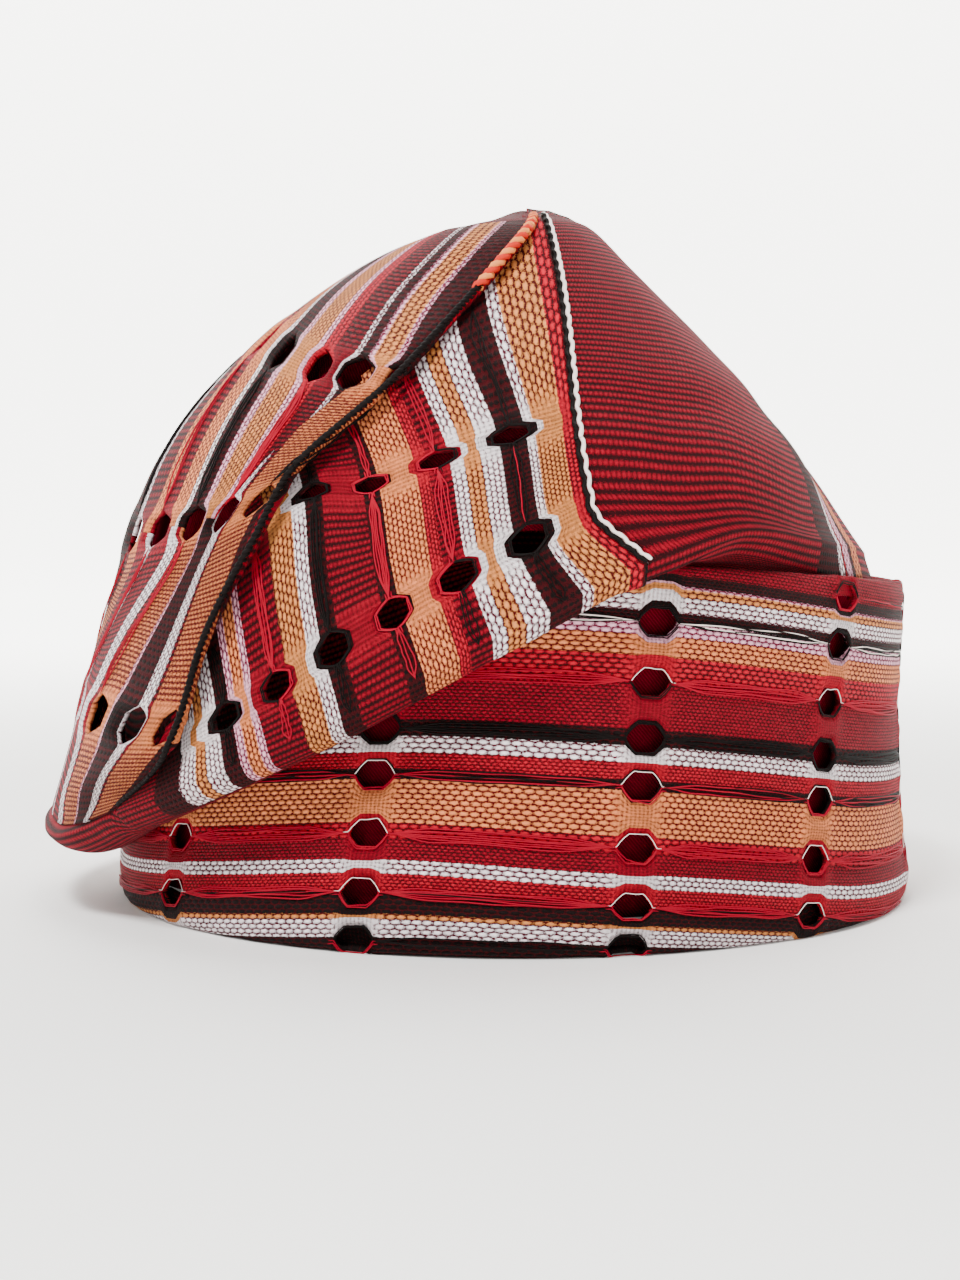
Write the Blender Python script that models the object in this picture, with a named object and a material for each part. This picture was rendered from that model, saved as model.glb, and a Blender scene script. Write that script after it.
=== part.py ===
"""A soft cap of striped openwork cloth: an upright band that goes round the head, and a tall crown whose
neck sits in the mouth of the band and whose cloth is turned down over the front and the left of it.

+Z is up, the front of the cap faces -Y and the cap's turned-down side is -X. The rim lies on z = 0.
Azimuths are degrees about +Z from the front, positive towards +X. Sizes are millimetres."""

import math

import bpy
import numpy as np

MM = 0.001

BAND_RADIUS = 93.5  # outside of the band at its rim
BAND_HEIGHT = 80.6  # height of the band at the front and the back
BAND_DIP = 6.8  # how much lower the top of the band is at the two sides
BAND_LEAN = 2.6  # how far the top of the band is drawn in on its left, under the turned-down cloth
CROWN_HEIGHT = 160.0  # height of the ridge of the crown above the rim
NECK_DEPTH = 18.0  # how far the neck of the crown reaches down inside the band
CLOTH = 2.0  # the woven cloth with its floats
LINING = 1.2
GAP = 0.45  # air between two layers
LIP = 1.5  # the mouth of the neck may stand this far outside the crown's lower edge
LINING_EASE = 1.5  # the crown's lining hangs this far free of its cloth
HEM_FOLD = 4.0  # height over which the turned-down cloth rounds over at its lower edge
PLEAT_STEP = 5.5  # how far the left face stands proud of the front along the long pleat
PLEAT_WIDTH = 1.6  # width of the step of the pleat
EYELET_WIDTH = 8.6
EYELET_HEIGHT = 7.2

SHARP = math.radians(45)  # an edge that turns more than this stays crisp
BAND_SIDES = 60
CROWN_SIDES = (23, 32)  # columns of faces left and right of the long pleat
SKIN_ROWS = 10  # rows of faces from the hem of the crown to its ridge
LINING_SIDES, LINING_ROWS = 32, 6

# One row for each level of the band, from the rim up.
BAND_LEVELS = {
    "height": (0.0, 0.035, 0.09, 0.27, 0.62, 0.95, 1.0),  # share of the band's height there
    "radius": (0.989, 1.0, 1.001, 0.983, 0.972, 0.984, 0.980),  # share of BAND_RADIUS
    "wall": (1.6, 1.7, 1.5, 1.0, 1.0, 1.0, 0.9),  # share of CLOTH; the rim is turned under
}

# Shares of the height, and the share of BAND_LEAN that is reached there.
BAND_LEAN_LEVELS = ((0.27, 0.62, 0.95, 1.0), (0.0, 0.3, 0.95, 1.0))

# Rows of eyelets round the band, from the top down. They dip at the sides more than the band does.
EYELET_COLUMNS = {"first": -185.2, "pitch": 32.73, "count": 11, "lean": 6.0}  # degrees; the lean is over the height
EYELET_ROWS = {
    "height": (1.005, 0.862, 0.71, 0.572, 0.445, 0.303, 0.158),  # share of BAND_HEIGHT, at the front
    "dip": 12.0,
}

# The lower edge of the turned-down cloth, or the place where the crown leaves the mouth of the band.
HEM = {
    "azimuth": (-180, -165, -150, -130, -110, -90, -70, -50, -24, -2, 17, 30, 45, 60, 90, 135),
    # share of BAND_HEIGHT
    "height": (1.03, 1.01, 0.72, 0.48, 0.29, 0.18, 0.165, 0.29, 0.52, 0.77, 0.965, 1.03, 1.0, 0.975, 0.94, 0.98),
    # share of BAND_RADIUS
    "reach": (0.93, 1.045, 1.09, 1.13, 1.16, 1.18, 1.18, 1.155, 1.125, 1.09, 1.055, 1.02, 0.96, 0.912, 0.885, 0.905),
}

# Upright sections of the crown above its hem. The levels lie at these shares of the rise from hem to ridge.
LEVEL_SHARES = (0.30, 0.57, 0.79, 0.93)
SECTIONS = {
    "azimuth": (-180, -135, -90, -45, 0, 45, 65, 95, 135),
    # shares of BAND_RADIUS
    "low": (0.90, 1.05, 1.045, 1.08, 1.05, 0.855, 0.72, 0.70, 0.81),
    "middle": (0.77, 0.90, 0.912, 0.955, 0.90, 0.628, 0.50, 0.49, 0.61),
    "high": (0.60, 0.64, 0.635, 0.69, 0.70, 0.405, 0.315, 0.30, 0.42),
    "crest": (0.41, 0.36, 0.31, 0.37, 0.50, 0.24, 0.185, 0.175, 0.25),
}

# The long pleat: where the edge of the left face lies at each share of the rise from hem to ridge.
PLEAT = {
    "share": (0.0, 0.06, 0.24, 0.35, 0.47, 0.61, 0.76, 0.90, 1.0),
    "azimuth": (-56, -45, -40, -35.5, -30, -17.5, -9, 1, 7),
}

# Swells (+) and dents (-) of the soft cloth.
FOLDS = {
    "azimuth": (35, 38, -14, -9, -100, -135, 150, 110, 75),
    "height": (0.70, 0.61, 0.50, 0.86, 0.36, 0.62, 0.74, 0.66, 0.80),  # share of CROWN_HEIGHT
    "half_turn": (26, 30, 20, 9, 24, 20, 24, 16, 22),  # degrees
    "half_height": (0.03, 0.05, 0.09, 0.06, 0.09, 0.05, 0.05, 0.05, 0.06),  # share of CROWN_HEIGHT
    "rise": (-0.8, 0.8, 1.0, -1.6, 0.4, -0.9, -1.2, 0.5, 0.4),  # share of CLOTH
}

# Lines of eyelets on the crown, each evenly spaced between two ends.
CROWN_EYELETS = {
    "from_azimuth": (-35.0, -25.0, -64.0, -54.0, -40.0, -150.0, -165.0),
    "from_height": (0.305, 0.588, 0.24, 0.54, 0.782, 0.52, 0.70),  # share of CROWN_HEIGHT
    "to_azimuth": (1.0, 7.5, -51.0, -38.0, -23.0, -102.0, -100.0),
    "to_height": (0.535, 0.69, 0.27, 0.56, 0.744, 0.34, 0.64),
    "count": (6, 5, 2, 3, 3, 4, 4),
}


def periodic(table, column, azimuth):
    """A column of a table by azimuth, as a smooth curve through its rows that joins up all the way round."""
    turn = np.asarray(table["azimuth"], float)
    value = np.asarray(table[column], float)
    x = np.concatenate([turn[-2:] - 360, turn, turn[:2] + 360])
    y = np.concatenate([value[-2:], value, value[:2]])
    return smooth(x, y, (np.asarray(azimuth, float) - turn[0]) % 360 + turn[0])


def smooth(x, y, at):
    """A cubic through the points (x, y), whose slope at each is limited so that it doesn't overshoot."""
    step = np.diff(x)
    rise = np.diff(y) / step
    slope = np.zeros(len(x))
    slope[1:-1] = np.where(
        rise[1:] * rise[:-1] > 0,
        3 * (step[1:] + step[:-1]) / ((2 * step[1:] + step[:-1]) / np.where(rise[:-1] == 0, 1, rise[:-1]) + (step[1:] + 2 * step[:-1]) / np.where(rise[1:] == 0, 1, rise[1:])),
        0,
    )
    slope[0], slope[-1] = rise[0], rise[-1]
    i = np.clip(np.searchsorted(x, at, side="right") - 1, 0, len(x) - 2)
    t = np.clip((at - x[i]) / step[i], 0, 1)
    return (
        (1 + 2 * t) * (1 - t) ** 2 * y[i]
        + t * (1 - t) ** 2 * step[i] * slope[i]
        + t * t * (3 - 2 * t) * y[i + 1]
        + t * t * (t - 1) * step[i] * slope[i + 1]
    )


def ease(t):
    t = np.clip(t, 0, 1)
    return t * t * (3 - 2 * t)


def turned(azimuth, radius, height):
    """Points in space from azimuth, distance from the axis and height."""
    a = np.radians(azimuth)
    return np.stack([radius * np.sin(a), -radius * np.cos(a), height + 0 * a], axis=-1)


def band_top(azimuth):
    return BAND_HEIGHT - BAND_DIP * np.sin(np.radians(azimuth)) ** 2


def band_radius(azimuth, height):
    """Outside radius of the band at a height."""
    share = height / band_top(azimuth)
    lean = BAND_LEAN * ease(-np.sin(np.radians(azimuth))) * np.interp(share, *BAND_LEAN_LEVELS)
    return BAND_RADIUS * np.interp(share, BAND_LEVELS["height"], BAND_LEVELS["radius"]) - lean


def band_inside(azimuth, height):
    """Inside radius of the band at a height."""
    wall = np.interp(height / band_top(azimuth), BAND_LEVELS["height"], BAND_LEVELS["wall"])
    return band_radius(azimuth, height) - CLOTH * wall


def hem(azimuth):
    """(reach, height) of the crown's lower edge: the outside of the roll, and its lowest point."""
    return BAND_RADIUS * periodic(HEM, "reach", azimuth), BAND_HEIGHT * periodic(HEM, "height", azimuth)


def pleat_azimuth(share):
    return smooth(np.array(PLEAT["share"]), np.array(PLEAT["azimuth"], float), share)


def skin_radius(azimuth, height, share, side):
    """Swells, dents and the long pleat, as a distance added to the outer skin. Side is -1 on the left face,
    +1 right of the pleat, and 0 for a layer under both that lies against the inner of the two."""
    extra = np.zeros(np.broadcast(azimuth, height).shape)
    for turn, level, half_turn, half_height, rise in zip(*(FOLDS[name] for name in ("azimuth", "height", "half_turn", "half_height", "rise"))):
        away = ((azimuth - turn + 180) % 360 - 180) / half_turn
        up = (height / CROWN_HEIGHT - level) / half_height
        extra += CLOTH * rise * np.exp(-away * away - up * up)
    away = (azimuth - pleat_azimuth(share) + 180) % 360 - 180
    fade = ease(share / 0.06) * (1 - ease((share - 0.86) / 0.14))
    left = 0.8 * PLEAT_STEP * (1 - ease(-away / 38))
    right = -0.2 * PLEAT_STEP * (1 - ease(np.abs(away) / 18))
    extra += fade * (left if side < 0 else right)
    return extra * ease(share / 0.08) * (1 - ease((share - 0.93) / 0.07))


def section(azimuth, side, inset=0.0):
    """The outer skin of the crown in one upright half-plane, from the outside of the hem up to the ridge:
    (radius, height) of closely spaced points, moved inwards by the inset."""
    reach, low = hem(azimuth)
    start = low + HEM_FOLD
    knots_share = np.array((0.0, *LEVEL_SHARES, 1.0))
    radii = np.array([reach, *(BAND_RADIUS * periodic(SECTIONS, name, azimuth) for name in ("low", "middle", "high", "crest")), 0.0])
    heights = start + knots_share * (CROWN_HEIGHT - start)
    walked = np.concatenate([[0.0], np.cumsum(np.hypot(np.diff(radii), np.diff(heights)))])
    fine = np.linspace(0, walked[-1], 81)
    radius, height = smooth(walked, radii, fine), smooth(walked, heights, fine)
    share = (height - start) / (CROWN_HEIGHT - start)
    radius = radius + skin_radius(azimuth, height, share, side) * np.clip(radius / 12.0, 0, 1)
    if inset:
        along = np.stack([np.gradient(radius), np.gradient(height)])
        along /= np.maximum(np.hypot(*along), 1e-9)
        radius, height = radius - inset * along[1], height + inset * along[0]
        radius = np.maximum(radius, 0)
        radius[-1] = 0
        height[-1] = CROWN_HEIGHT - 1.35 * inset
        height = np.minimum(height, height[-1])
    return radius, height


def pocket(azimuth):
    """(inner radius, floor, rise of its corners) of the hollow between the two layers of turned-down cloth.
    Where the layers leave no room between them, its floor lies above the edge of the band."""
    reach, low = hem(azimuth)
    skirt = float(band_radius(azimuth, 0.09 * band_top(azimuth))) + GAP
    closed = max(low, float(band_top(azimuth))) + 1.8 * CLOTH
    open_ = float(ease((reach - skirt - 2 * CLOTH) / (2 * CLOTH)))
    floor = closed + open_ * (low + 1.1 * CLOTH - closed)
    return skirt + CLOTH, floor, min(0.15 * (closed - floor), 0.75 * HEM_FOLD)


def turned_edge(azimuth, back):
    """The crown's cloth from the bottom of its neck to the outside of its hem: inside the band, over the top
    edge, down the outside and round the hem. Back is 0 for the side that faces the band and 1 for the side
    that faces the hollow. Where the crown only bulges over the edge, or rises inside it, the same points
    lie along its plainer wall."""
    reach, low = hem(azimuth)
    top = float(band_top(azimuth))
    clear = top + 1.5 * GAP
    start = low + HEM_FOLD
    neck_low = float(band_inside(azimuth, top - NECK_DEPTH)) - 2.2 * GAP - LINING
    neck_high = min(float(band_inside(azimuth, top)) - 2.2 * GAP - LINING, reach + LIP)
    mouth = float(band_radius(azimuth, top)) + 1.5 * GAP
    inner, floor, corner = pocket(azimuth)
    skirt = inner - CLOTH
    down = min(start, clear)
    base = low if low < clear else max(low, clear)
    width = reach - skirt
    under = max(low, clear)
    lip = min(max((reach - neck_high) / 4.0, 0.0), 1.0)
    run = np.linspace(0, 1, 7)
    if not back:
        neck = [(neck_low, top - NECK_DEPTH), (neck_high, top - 2 * CLOTH), (neck_high + 0.1, clear - 0.1)]
        flap = [
            ((neck_high + mouth) / 2, clear + GAP / 2),
            (mouth, clear),
            ((mouth + skirt) / 2, (clear + down) / 2),
            (skirt, down),
            (skirt + 0.2 * width, base + 0.2 * (down - base)),
            (skirt + 0.5 * width, base),
            (skirt + 0.8 * width, base + 0.25 * (start - base)),
        ]
        bend = np.interp(run, [0, 0.15, 0.85, 1], [0, 0.2, 0.85, 1])
        plain_radius = neck_high + (reach - neck_high) * (run + lip * (bend - run))
        plain_height = np.interp(run, [0, 0.15, 0.6, 1], [clear + 0.1, clear + 0.4, under + 0.6, start - 0.6])
        plain_height = plain_height * lip + (1 - lip) * np.linspace(clear + 0.5, start - 0.6, 7)
    else:
        thick = CLOTH
        ahead = neck_high - (0.95 - 0.2 * lip) * thick
        neck = [(neck_low - thick, top - NECK_DEPTH), (neck_high - thick, top - 2 * CLOTH), (ahead, clear + 0.7 * thick)]
        most = reach - thick
        flap = [
            ((neck_high + mouth) / 2, clear + GAP / 2 + thick),
            (min(mouth + 0.7 * thick, most - 0.6), clear + 0.75 * thick),
            (min((mouth + inner + 0.9 * thick) / 2, most - 0.5), (clear + 0.3 * thick + floor + corner) / 2),
            (min(inner, most - 0.4), floor + corner),
            (min(inner + 0.2 * (width - 2 * thick), most - 0.3), floor + 0.2 * corner),
            (min(inner + 0.5 * (width - 2 * thick), most - 0.2), floor),
            (min(inner + 0.8 * (width - 2 * thick), most - 0.1), floor + 0.2 * corner),
        ]
        plain_radius = ahead + (0.08 + 0.88 * run) * (most - ahead)
        plain_height = np.linspace(clear + 0.7 * thick + 0.6, skin_start(azimuth, 1) - 0.6, 7)
    plain = np.stack([plain_radius, plain_height], axis=1)
    out = float(ease((reach - 1.02 * BAND_RADIUS) / (0.03 * BAND_RADIUS)))
    return np.concatenate([neck, plain + out * (np.array(flap) - plain)])


def skin_start(azimuth, back):
    """Height of the lowest row of the outer skin."""
    start = hem(azimuth)[1] + HEM_FOLD
    if not back:
        return start
    _, floor, corner = pocket(azimuth)
    return max(floor + corner, hem(azimuth)[1] + 0.9 * HEM_FOLD)


def crown_azimuths(share, back):
    """(side, azimuth) of the crown's columns at a share of the rise. Two of them lie close on either side of
    the long pleat. On the side that faces the hollow the pleat is moved under the left face by more than the
    cloth, so that the step keeps its thickness."""
    at = float(pleat_azimuth(share))
    radius = BAND_RADIUS * float(np.interp(share, (0, *LEVEL_SHARES, 1), (1.15, 1.08, 0.95, 0.70, 0.42, 0.3)))
    half = math.degrees(PLEAT_WIDTH / 2 / radius)
    at -= back * math.degrees(1.1 * CLOTH / radius)
    left = at - half - (180 - half) * np.linspace(1, 0, CROWN_SIDES[0] + 1)
    right = at + half + (180 - half) * np.linspace(0, 1, CROWN_SIDES[1] + 1)[:-1]
    return [*((-1, a) for a in left), *((1, a) for a in right)]


def skin_at(azimuth, side, inset, start, share):
    """The point of the outer skin, moved inwards by the inset, at a share of the rise from a height to the ridge."""
    radius, height = section(azimuth, side, inset)
    target = start + share * (height[-1] - start)
    return turned(azimuth, float(np.interp(target, height, radius)), target)


def main():
    clear_scene()
    parts = bpy.data.collections.new("cap")
    cutters = bpy.data.collections.new("cutters")
    bpy.context.scene.collection.children.link(parts)
    bpy.context.scene.collection.children.link(cutters)
    cutters.hide_render = True

    band = add("band", parts, *ring_mesh(band_surface), (0.40, 0.07, 0.06))
    cut(band, add_cutter("band_eyelets", cutters, band_eyelets()))
    add("band_lining", parts, *ring_mesh(lining_surface), (0.10, 0.012, 0.02))
    crown = add("crown", parts, *crown_mesh(), (0.50, 0.06, 0.05))
    cut(crown, add_cutter("crown_eyelets", cutters, crown_eyelets()))
    add("crown_lining", parts, *crown_lining_mesh(), (0.10, 0.012, 0.02))


def clear_scene():
    for obj in list(bpy.data.objects):
        bpy.data.objects.remove(obj, do_unlink=True)


def add(name, collection, points, faces, colour=None):
    mesh = bpy.data.meshes.new(name)
    mesh.from_pydata([tuple(p) for p in np.asarray(points) * MM], [], faces)
    mesh.update()
    mesh.shade_smooth()
    mesh.set_sharp_from_angle(angle=SHARP)
    obj = bpy.data.objects.new(name, mesh)
    collection.objects.link(obj)
    if colour:
        material = bpy.data.materials.new(name)
        material.use_nodes = True
        shader = material.node_tree.nodes["Principled BSDF"]
        shader.inputs["Base Color"].default_value = (*colour, 1.0)
        shader.inputs["Roughness"].default_value = 0.85
        mesh.materials.append(material)
    return obj


def add_cutter(name, collection, solids):
    points, faces = [], []
    for corners, sides in solids:
        faces += [[i + len(points) for i in side] for side in sides]
        points += list(corners)
    obj = add(name, collection, points, faces)
    obj.hide_render = True
    obj.display_type = "WIRE"
    return obj


def cut(obj, cutter):
    modifier = obj.modifiers.new("eyelets", "BOOLEAN")
    modifier.operation = "DIFFERENCE"
    modifier.solver = "EXACT"
    modifier.object = cutter


def ring_mesh(surface):
    """A closed ring from a function that gives the closed section, as (radius, height) points, at an azimuth."""
    sections = [turned(a, *np.array(surface(a)).T) for a in np.arange(BAND_SIDES) * 360.0 / BAND_SIDES]
    count = len(sections[0])
    faces = []
    for i in range(BAND_SIDES):
        j = (i + 1) % BAND_SIDES
        for k in range(count):
            m = (k + 1) % count
            faces.append([i * count + k, j * count + k, j * count + m, i * count + m])
    return np.concatenate(sections), faces


def band_surface(azimuth):
    height = np.array(BAND_LEVELS["height"]) * band_top(azimuth)
    outer, inner = band_radius(azimuth, height), band_inside(azimuth, height)
    return [*zip(outer, height), *zip(inner[::-1], height[::-1])]


def lining_surface(azimuth):
    height = np.array(BAND_LEVELS["height"][2:-1]) * band_top(azimuth)
    outer = band_inside(azimuth, height) - GAP
    return [*zip(outer, height), *zip(outer[::-1] - LINING, height[::-1])]


def hexagon(centre, outward, along, reach):
    """A six-sided prism, pointed at its two ends along the cloth, that passes through the wall at a point."""
    outward = outward / np.linalg.norm(outward)
    along = along - outward * np.dot(along, outward)
    along = along / np.linalg.norm(along)
    across = np.cross(outward, along)
    w, h = EYELET_WIDTH / 2, EYELET_HEIGHT / 2
    shape = [(w, 0), (w / 2, h), (-w / 2, h), (-w, 0), (-w / 2, -h), (w / 2, -h)]
    corners = [centre + x * along + y * across + s * reach * outward for s in (-1, 1) for x, y in shape]
    sides = [[5, 4, 3, 2, 1, 0], [6, 7, 8, 9, 10, 11]]
    sides += [[i, (i + 1) % 6, (i + 1) % 6 + 6, i + 6] for i in range(6)]
    return corners, sides


def band_eyelets():
    for i in range(EYELET_COLUMNS["count"]):
        azimuth = EYELET_COLUMNS["first"] + i * EYELET_COLUMNS["pitch"]
        s = math.sin(math.radians(azimuth))
        for share in EYELET_ROWS["height"]:
            height = share * BAND_HEIGHT - EYELET_ROWS["dip"] * s * s
            room = EYELET_HEIGHT / 2 + CLOTH
            if not room + CLOTH < height < float(band_top(azimuth)) - room:
                continue
            at = azimuth + EYELET_COLUMNS["lean"] * height / BAND_HEIGHT
            centre = turned(at, float(band_radius(at, height)) - CLOTH / 2, height)
            yield hexagon(centre, turned(at, 1.0, 0.0), turned(at + 90, 1.0, 0.0), CLOTH * 1.6)


def crown_mesh():
    """The cloth of the crown as one closed solid: the side that faces out and the side that faces the hollow,
    joined along the bottom of the neck."""
    grids = []
    for back in (0, 1):
        edge = np.array([turned(a, *turned_edge(a, back).T) for _, a in crown_azimuths(0.0, back)])
        skin = [
            [skin_at(a, side, CLOTH * back, skin_start(a, back), share) for side, a in crown_azimuths(share, back)]
            for share in np.linspace(0, 1, SKIN_ROWS + 1)[:-1] ** 0.9
        ]
        grids.append(np.concatenate([edge.transpose(1, 0, 2), np.array(skin)]))
    return shell(*grids, CROWN_HEIGHT, CROWN_HEIGHT - 1.35 * CLOTH)


def crown_lining_mesh():
    """The lining of the crown, from above the edge of the band to the ridge. It passes under the long pleat."""
    grids = []
    for back in (0, 1):
        inset = CLOTH + LINING_EASE + LINING * back
        rows = []
        for share in np.linspace(0, 1, LINING_ROWS + 1)[:-1]:
            row = []
            for azimuth in np.arange(LINING_SIDES) * 360.0 / LINING_SIDES:
                start = max(hem(azimuth)[1] + HEM_FOLD, float(band_top(azimuth))) + 3.5 * CLOTH
                row.append(skin_at(azimuth, 0, inset, start, share))
            rows.append(row)
        grids.append(np.array(rows))
    top = CROWN_HEIGHT - 1.35 * (CLOTH + LINING_EASE)
    return shell(*grids, top, top - 1.35 * LINING)


def shell(outer, inner, outer_top, inner_top):
    """Two grids of points, open at the bottom row, closed at the top on a point of the axis, and joined
    along their bottom rows into one closed wall."""
    rows, columns = outer.shape[:2]
    points = [*outer.reshape(-1, 3), np.array([0, 0, outer_top]), *inner.reshape(-1, 3), np.array([0, 0, inner_top])]
    step = rows * columns + 1
    faces = []
    for base, flip in ((0, False), (step, True)):
        found = []
        for r in range(rows - 1):
            for c in range(columns):
                n = (c + 1) % columns
                found.append([base + r * columns + c, base + r * columns + n, base + (r + 1) * columns + n, base + (r + 1) * columns + c])
        for c in range(columns):
            n = (c + 1) % columns
            found.append([base + (rows - 1) * columns + c, base + (rows - 1) * columns + n, base + rows * columns])
        faces += [side[::-1] for side in found] if flip else found
    for c in range(columns):
        n = (c + 1) % columns
        faces.append([n, c, step + c, step + n])
    return points, faces


def crown_eyelets():
    names = ("from_azimuth", "from_height", "to_azimuth", "to_height", "count")
    for azimuth_a, height_a, azimuth_b, height_b, count in zip(*(CROWN_EYELETS[name] for name in names)):
        for t in np.linspace(0, 1, count):
            azimuth = azimuth_a + t * (azimuth_b - azimuth_a)
            height = CROWN_HEIGHT * (height_a + t * (height_b - height_a))
            centre, outward = skin_point(azimuth, height)
            yield hexagon(centre - outward * CLOTH / 2, outward, turned(azimuth + 90, 1.0, 0.0), CLOTH * 0.9)


def skin_point(azimuth, height):
    """The point of the outer skin at an azimuth and a height, and the direction that faces out there."""
    found = []
    for da, dh in ((0, 0), (1.0, 0), (0, 2.0)):
        reach, low = hem(azimuth + da)
        share = (height + dh - low - HEM_FOLD) / (CROWN_HEIGHT - low - HEM_FOLD)
        side = -1 if azimuth < float(pleat_azimuth(share)) else 1
        radius, level = section(azimuth + da, side)
        found.append(turned(azimuth + da, float(np.interp(height + dh, level, radius)), height + dh))
    outward = np.cross(found[1] - found[0], found[2] - found[0])
    return found[0], outward / np.linalg.norm(outward)


main()
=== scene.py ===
"""A fila cap of striped openwork cloth, standing on its rim: the band with its columns of eyelets, and the
tall crown whose cloth is turned down over the front and the left of it.

Surfaces are worked out in millimetres, in the object's frame: +Z up, the front faces -Y. Azimuths are
degrees about +Z from the front, positive towards +X. Cloth coordinates are u, along the stripes, and v,
across them, both in millimetres of cloth."""

import math

import bpy
import numpy as np
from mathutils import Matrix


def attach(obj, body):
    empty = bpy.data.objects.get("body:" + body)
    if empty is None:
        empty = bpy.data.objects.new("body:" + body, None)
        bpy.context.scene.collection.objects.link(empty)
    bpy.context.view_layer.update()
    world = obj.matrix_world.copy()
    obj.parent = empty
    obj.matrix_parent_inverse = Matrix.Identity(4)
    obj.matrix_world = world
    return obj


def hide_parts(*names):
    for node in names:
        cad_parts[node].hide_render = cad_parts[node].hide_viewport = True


MM = 0.001
RANDOM = np.random.default_rng(7)

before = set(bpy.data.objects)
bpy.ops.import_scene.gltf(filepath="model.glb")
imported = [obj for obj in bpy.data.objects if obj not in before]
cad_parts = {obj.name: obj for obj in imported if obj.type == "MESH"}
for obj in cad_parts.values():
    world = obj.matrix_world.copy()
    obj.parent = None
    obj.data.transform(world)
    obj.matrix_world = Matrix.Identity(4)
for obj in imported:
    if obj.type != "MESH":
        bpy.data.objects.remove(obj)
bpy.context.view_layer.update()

# ---------------------------------------------------------------- sizes of the cap

BAND_RADIUS = 93.5  # outside of the band at its rim
BAND_HEIGHT = 80.6
BAND_DIP = 6.8  # the top of the band is this much lower at the sides
BAND_LEAN = 2.6  # the top of the band is drawn in this far on its left
CROWN_HEIGHT = 160.0
NECK_DEPTH = 18.0
CLOTH = 2.0
LINING = 1.2
GAP = 0.45
LINING_EASE = 1.5
HEM_FOLD = 4.0
PLEAT_STEP = 5.5
ARC = BAND_RADIUS * math.pi / 180  # millimetres of cloth to a degree of the band

BAND_LEVELS = ((0.0, 0.035, 0.09, 0.27, 0.62, 0.95, 1.0), (0.989, 1.0, 1.001, 0.983, 0.972, 0.984, 0.980))
BAND_WALL = (1.6, 1.7, 1.5, 1.0, 1.0, 1.0, 0.9)
BAND_LEAN_LEVELS = ((0.27, 0.62, 0.95, 1.0), (0.0, 0.3, 0.95, 1.0))

EYELET_PITCH = 360 / 11  # degrees from one column of eyelets to the next
EYELET_FIRST, EYELET_LEAN = -185.2, 6.0  # azimuth of the first column at the rim, and its lean over the height
EYELET_ROWS = (-8.0, 3.8, 13.8, 25.8, 37.8, 47.2, 58.4, 70.8, 81.6)  # v of each row round the band
EYELET_HALF = (4.3, 2.75)  # half of an eyelet along and across the cloth

HEM = {
    "azimuth": (-180, -165, -150, -130, -110, -90, -70, -50, -24, -2, 17, 30, 45, 60, 90, 135),
    "height": (1.03, 1.01, 0.72, 0.48, 0.29, 0.18, 0.165, 0.29, 0.52, 0.77, 0.965, 1.03, 1.0, 0.975, 0.94, 0.98),
    "reach": (0.93, 1.045, 1.09, 1.13, 1.16, 1.18, 1.18, 1.155, 1.125, 1.09, 1.055, 1.02, 0.96, 0.912, 0.885, 0.905),
}
LEVEL_SHARES = (0.30, 0.57, 0.79, 0.93)
SECTIONS = {
    "azimuth": (-180, -135, -90, -45, 0, 45, 65, 95, 135),
    "low": (0.90, 1.05, 1.045, 1.08, 1.05, 0.855, 0.72, 0.70, 0.81),
    "middle": (0.77, 0.90, 0.912, 0.955, 0.90, 0.628, 0.50, 0.49, 0.61),
    "high": (0.60, 0.64, 0.635, 0.69, 0.70, 0.405, 0.315, 0.30, 0.42),
    "crest": (0.41, 0.36, 0.31, 0.37, 0.50, 0.24, 0.185, 0.175, 0.25),
}
PLEAT = ((0.0, 0.06, 0.24, 0.35, 0.47, 0.61, 0.76, 0.90, 1.0), (-56, -45, -40, -35.5, -30, -17.5, -9, 1, 7))
FOLDS = {
    "azimuth": (35, 38, -14, -9, -100, -135, 150, 110, 75),
    "height": (0.70, 0.61, 0.50, 0.86, 0.36, 0.62, 0.74, 0.66, 0.80),
    "half_turn": (26, 30, 20, 9, 24, 20, 24, 16, 22),
    "half_height": (0.03, 0.05, 0.09, 0.06, 0.09, 0.05, 0.05, 0.05, 0.06),
    "rise": (-0.8, 0.8, 1.0, -1.6, 0.4, -0.9, -1.2, 0.5, 0.4),
}

# ---------------------------------------------------------------- colours and stripes

COLOURS = {
    "red": ("#98001E", "#44000B"),
    "deep": ("#7E0017", "#360008"),
    "bright": ("#BC0826", "#5C000E"),
    "orange": ("#EA8650", "#7C0612"),
    "tan": ("#D88648", "#6E080E"),
    "white": ("#FFF2F4", "#74082E"),
    "pink": ("#F4B2C6", "#9A1246"),
    "black": ("#130908", "#5C0410"),
}

# One row for each stripe of the band, from its rim up: v where it starts, colour, weave.
BAND_STRIPES = (
    (-30, "black", "lens"), (4.4, "white", "lens"), (8.3, "tan", "lens"), (9.1, "black", "lens"),
    (13.5, "bright", "fine"), (17.1, "white", "lens"), (19.9, "red", "fine"), (24.4, "bright", "lens"),
    (28.0, "orange", "lens"), (36.4, "black", "fine"), (38.6, "bright", "fine"), (41.8, "white", "lens"),
    (45.1, "black", "lens"), (48.8, "red", "fine"), (58.4, "bright", "lens"), (63.4, "orange", "lens"),
    (67.9, "pink", "lens"), (70.7, "black", "fine"), (72.6, "white", "lens"), (76.0, "tan", "lens"),
    (77.4, "pink", "lens"), (78.4, "black", "fine"), (80.2, "red", "fine"),
)

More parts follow.
